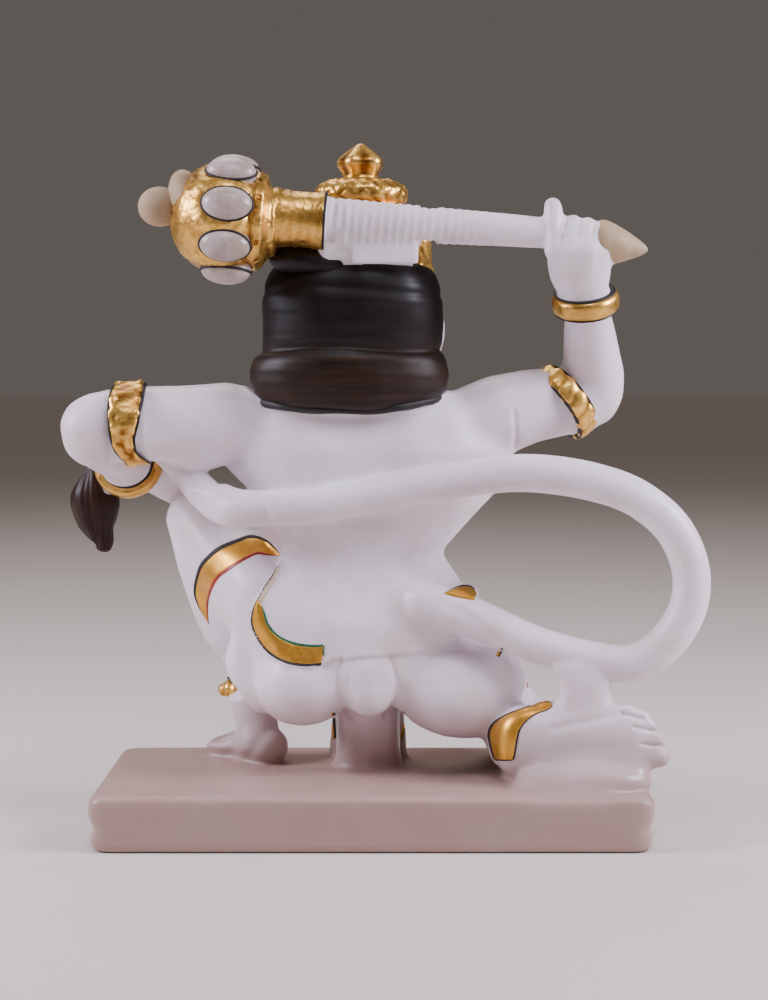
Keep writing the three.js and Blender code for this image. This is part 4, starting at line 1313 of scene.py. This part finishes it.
def face_paint(paint):
    """Calm open eyes, soft brows, closed lips and a mark on the forehead."""
    for side, name in ((1, "left"), (-1, "right")):
        def across(spots):
            return [(10 + side * away, z) for away, z in spots]
        upper = across([(8, 248), (11, 250.4), (15, 251.6), (19.5, 250.8), (23.4, 249)])
        lower = across([(8, 248), (11, 246.4), (15, 245.6), (19.5, 246.4), (23.4, 249)])
        paint.band(f"{name}_eye_white", from_front, upper, lower, {"white": (0, 1, 0.12, 0, WHITE)}, step=0.5)
        paint.band(f"{name}_eye_lid", from_front, upper, lower,
                   {"line": (-0.28, 0.06, 0.2, 0, BLACK), "under": (0.98, 1.08, 0.2, 0, BLACK)}, step=0.5)
        paint.oval(f"{name}_iris", (10 + side * 15.4, 248.8), 2.9, 2.8, 0.2, PUPIL)
        # The glint is a painted highlight: a white dot that stands in for a reflection in the eye.
        paint.oval(f"{name}_glint", (10 + side * 14.6, 249.9), 0.7, 0.7, 0.3, WHITE, 9)
        paint.band(f"{name}_brow", from_front, across([(5, 257.4), (13, 261.4), (22, 260.8), (30, 256)]),
                   across([(5, 256), (13, 259), (22, 258.8), (30, 255.4)]),
                   {"black": (0, 1, 0.16, 0, BLACK)}, step=0.5)
    paint.band("upper_lip", from_front,
               [(-3.4, 225.8), (3.4, 227.6), (8, 227), (10, 226.4), (12, 227), (16.6, 227.6), (23.4, 225.8)],
               [(-3.4, 225.2), (3, 223.8), (8, 224.2), (10, 224.6), (12, 224.2), (17, 223.8), (23.4, 225.2)],
               {"red": (0, 1, 0.12, 0, RED), "line": (0.92, 1.12, 0.18, 0, BLACK)}, step=0.5)
    paint.band("lower_lip", from_front, [(-3, 225), (3, 223), (10, 223.8), (17, 223), (23, 225)],
               [(-2.6, 224.4), (3, 220.4), (10, 219.6), (17, 220.4), (22.6, 224.4)],
               {"red": (0, 1, 0.12, 0, RED)}, step=0.5)
    paint.oval("forehead_mark_edge", (10, 266.4), 2.6, 6.8, 0.1, FLAT_GOLD)
    paint.oval("forehead_mark", (10, 266), 1.6, 5.6, 0.2, RED)


def necklaces(paint):
    """Two rows of gilded beads with a pendant, laid on the chest, and the belt's clasp."""
    rows = (("choker", 2.1,
             [(-27, 207), (-16, 199), (-4, 195.4), (8, 194.4), (22, 195.6), (34, 199.4), (46, 208)]),
            ("long_necklace", 2.5,
             [(-32, 203), (-24, 186), (-12, 173), (8, 166), (26, 172), (40, 186), (50, 203)]))
    for name, radius, path in rows:
        line = smooth_line(path)
        length = np.linalg.norm(np.diff(line, axis=0), axis=1).sum()
        beads = []
        for spot in evenly(line, int(length / (radius * 1.9))):
            place, normal = from_front(paint.surface, spot)
            if place is not None:
                middle = on_figure(np.array([place + normal * radius * 0.45 * MM]))[0]
                beads.append(pebble(middle, (radius, radius, radius), segments=14))
        piece = joined(*beads)
        # An even relief of 0.2, which the gold finish paints in the bright colour of its painted crest
        # highlight.
        keep_number(piece, "relief", np.full(len(piece.data.vertices), 0.2))
        finished(piece, name, GOLD)
    jewels = (("pendant", "pendant_stone", (8, 159), 1.2, (8, 3.2, 8.6), 2.6, 41, -2.6, (3, 1.8, 3.6)),
              ("belt_clasp", "belt_stone", (-4, 107), 1.0, (8.6, 3.4, 7.4), 2.4, 42, -2.8, (3, 1.6, 2.6)))
    for name, stone, spot, lift, sizes, across, seed, forward, stone_sizes in jewels:
        place, normal = from_front(paint.surface, spot)
        middle = on_figure(np.array([place + normal * lift * MM]))[0]
        plate = relief(pebble(middle, sizes, segments=64), lambda points: 0.4 * lumps(points, across, seed))
        finished(plate, name, GOLD)
        finished(pebble(middle + [0, forward, 0], stone_sizes), stone, RED)


# The floor, the lights and the camera

def floor():
    """A plain pale table top."""
    m = new_finish("pale_table")
    close_finish(m, Base_Color=linear("#D8CFC8"), Roughness=0.8, Specular_IOR_Level=0.2)
    bpy.ops.mesh.primitive_plane_add(size=60, location=(0, 0, 0))
    plane = bpy.context.object
    plane.name = "floor"
    plane.data.materials.append(m)


def light(name, kind, place, aim, strength, colour, **settings):
    lamp = bpy.data.lights.new(name, kind)
    lamp.energy = strength
    lamp.color = linear(colour)[:3]
    for key, value in settings.items():
        setattr(lamp, key, value)
    holder = bpy.data.objects.new(name, lamp)
    bpy.context.scene.collection.objects.link(holder)
    holder.location = place
    holder.rotation_euler = (Vector(aim) - Vector(place)).to_track_quat("-Z", "Y").to_euler()


def studio():
    """Cool soft lights from both sides and above, a warm one over the front, and a broad, weak sky."""
    world = bpy.data.worlds.new("studio")
    world.use_nodes = True
    background = world.node_tree.nodes["Background"]
    background.inputs["Color"].default_value = linear("#D9CCC4")
    background.inputs["Strength"].default_value = 0.17
    bpy.context.scene.world = world
    light("sky", "SUN", (0, 0.4, 2), (0, 0, 0), 0.15, "#FFF6F0", angle=math.radians(120))
    light("left", "AREA", (1.1, 0.2, 0.72), (0, 0, 0.27), 19, "#F0ECFF", size=0.5)
    light("right", "AREA", (-1.1, 0.3, 0.75), (0, 0, 0.25), 24, "#F0ECFF", size=0.5)
    light("top", "AREA", (-0.1, 0.7, 1.35), (0, 0, 0.28), 6, "#F4F0FF", size=0.5)
    light("front", "AREA", (0.4, -1.2, 2.2), (0, 0, 0.2), 16, "#FFFAF5", size=1.2)


LENS_MM = 71.91


def camera():
    """The photograph's viewpoint: behind the figure, a little above the middle of its back."""
    lens = bpy.data.cameras.new("camera")
    lens.sensor_fit = "AUTO"
    lens.sensor_width = 36
    lens.lens = LENS_MM
    lens.clip_start = 0.05
    holder = bpy.data.objects.new("camera", lens)
    bpy.context.scene.collection.objects.link(holder)
    holder.location = Vector(EYE) * MM
    holder.rotation_euler = (math.pi / 2 - EYE_PITCH, 0, math.pi)
    bpy.context.scene.camera = holder


camera()
studio()
floor()
marble = carved_marble()
hair()
hair_outline()
crown()
crown_plate()
tuft()
mace_head()
mace_bosses()
mace_ends()
jewellery()
paint = Painter(marble)
back_bands(paint)
front_bands(paint)
face_paint(paint)
necklaces(paint)
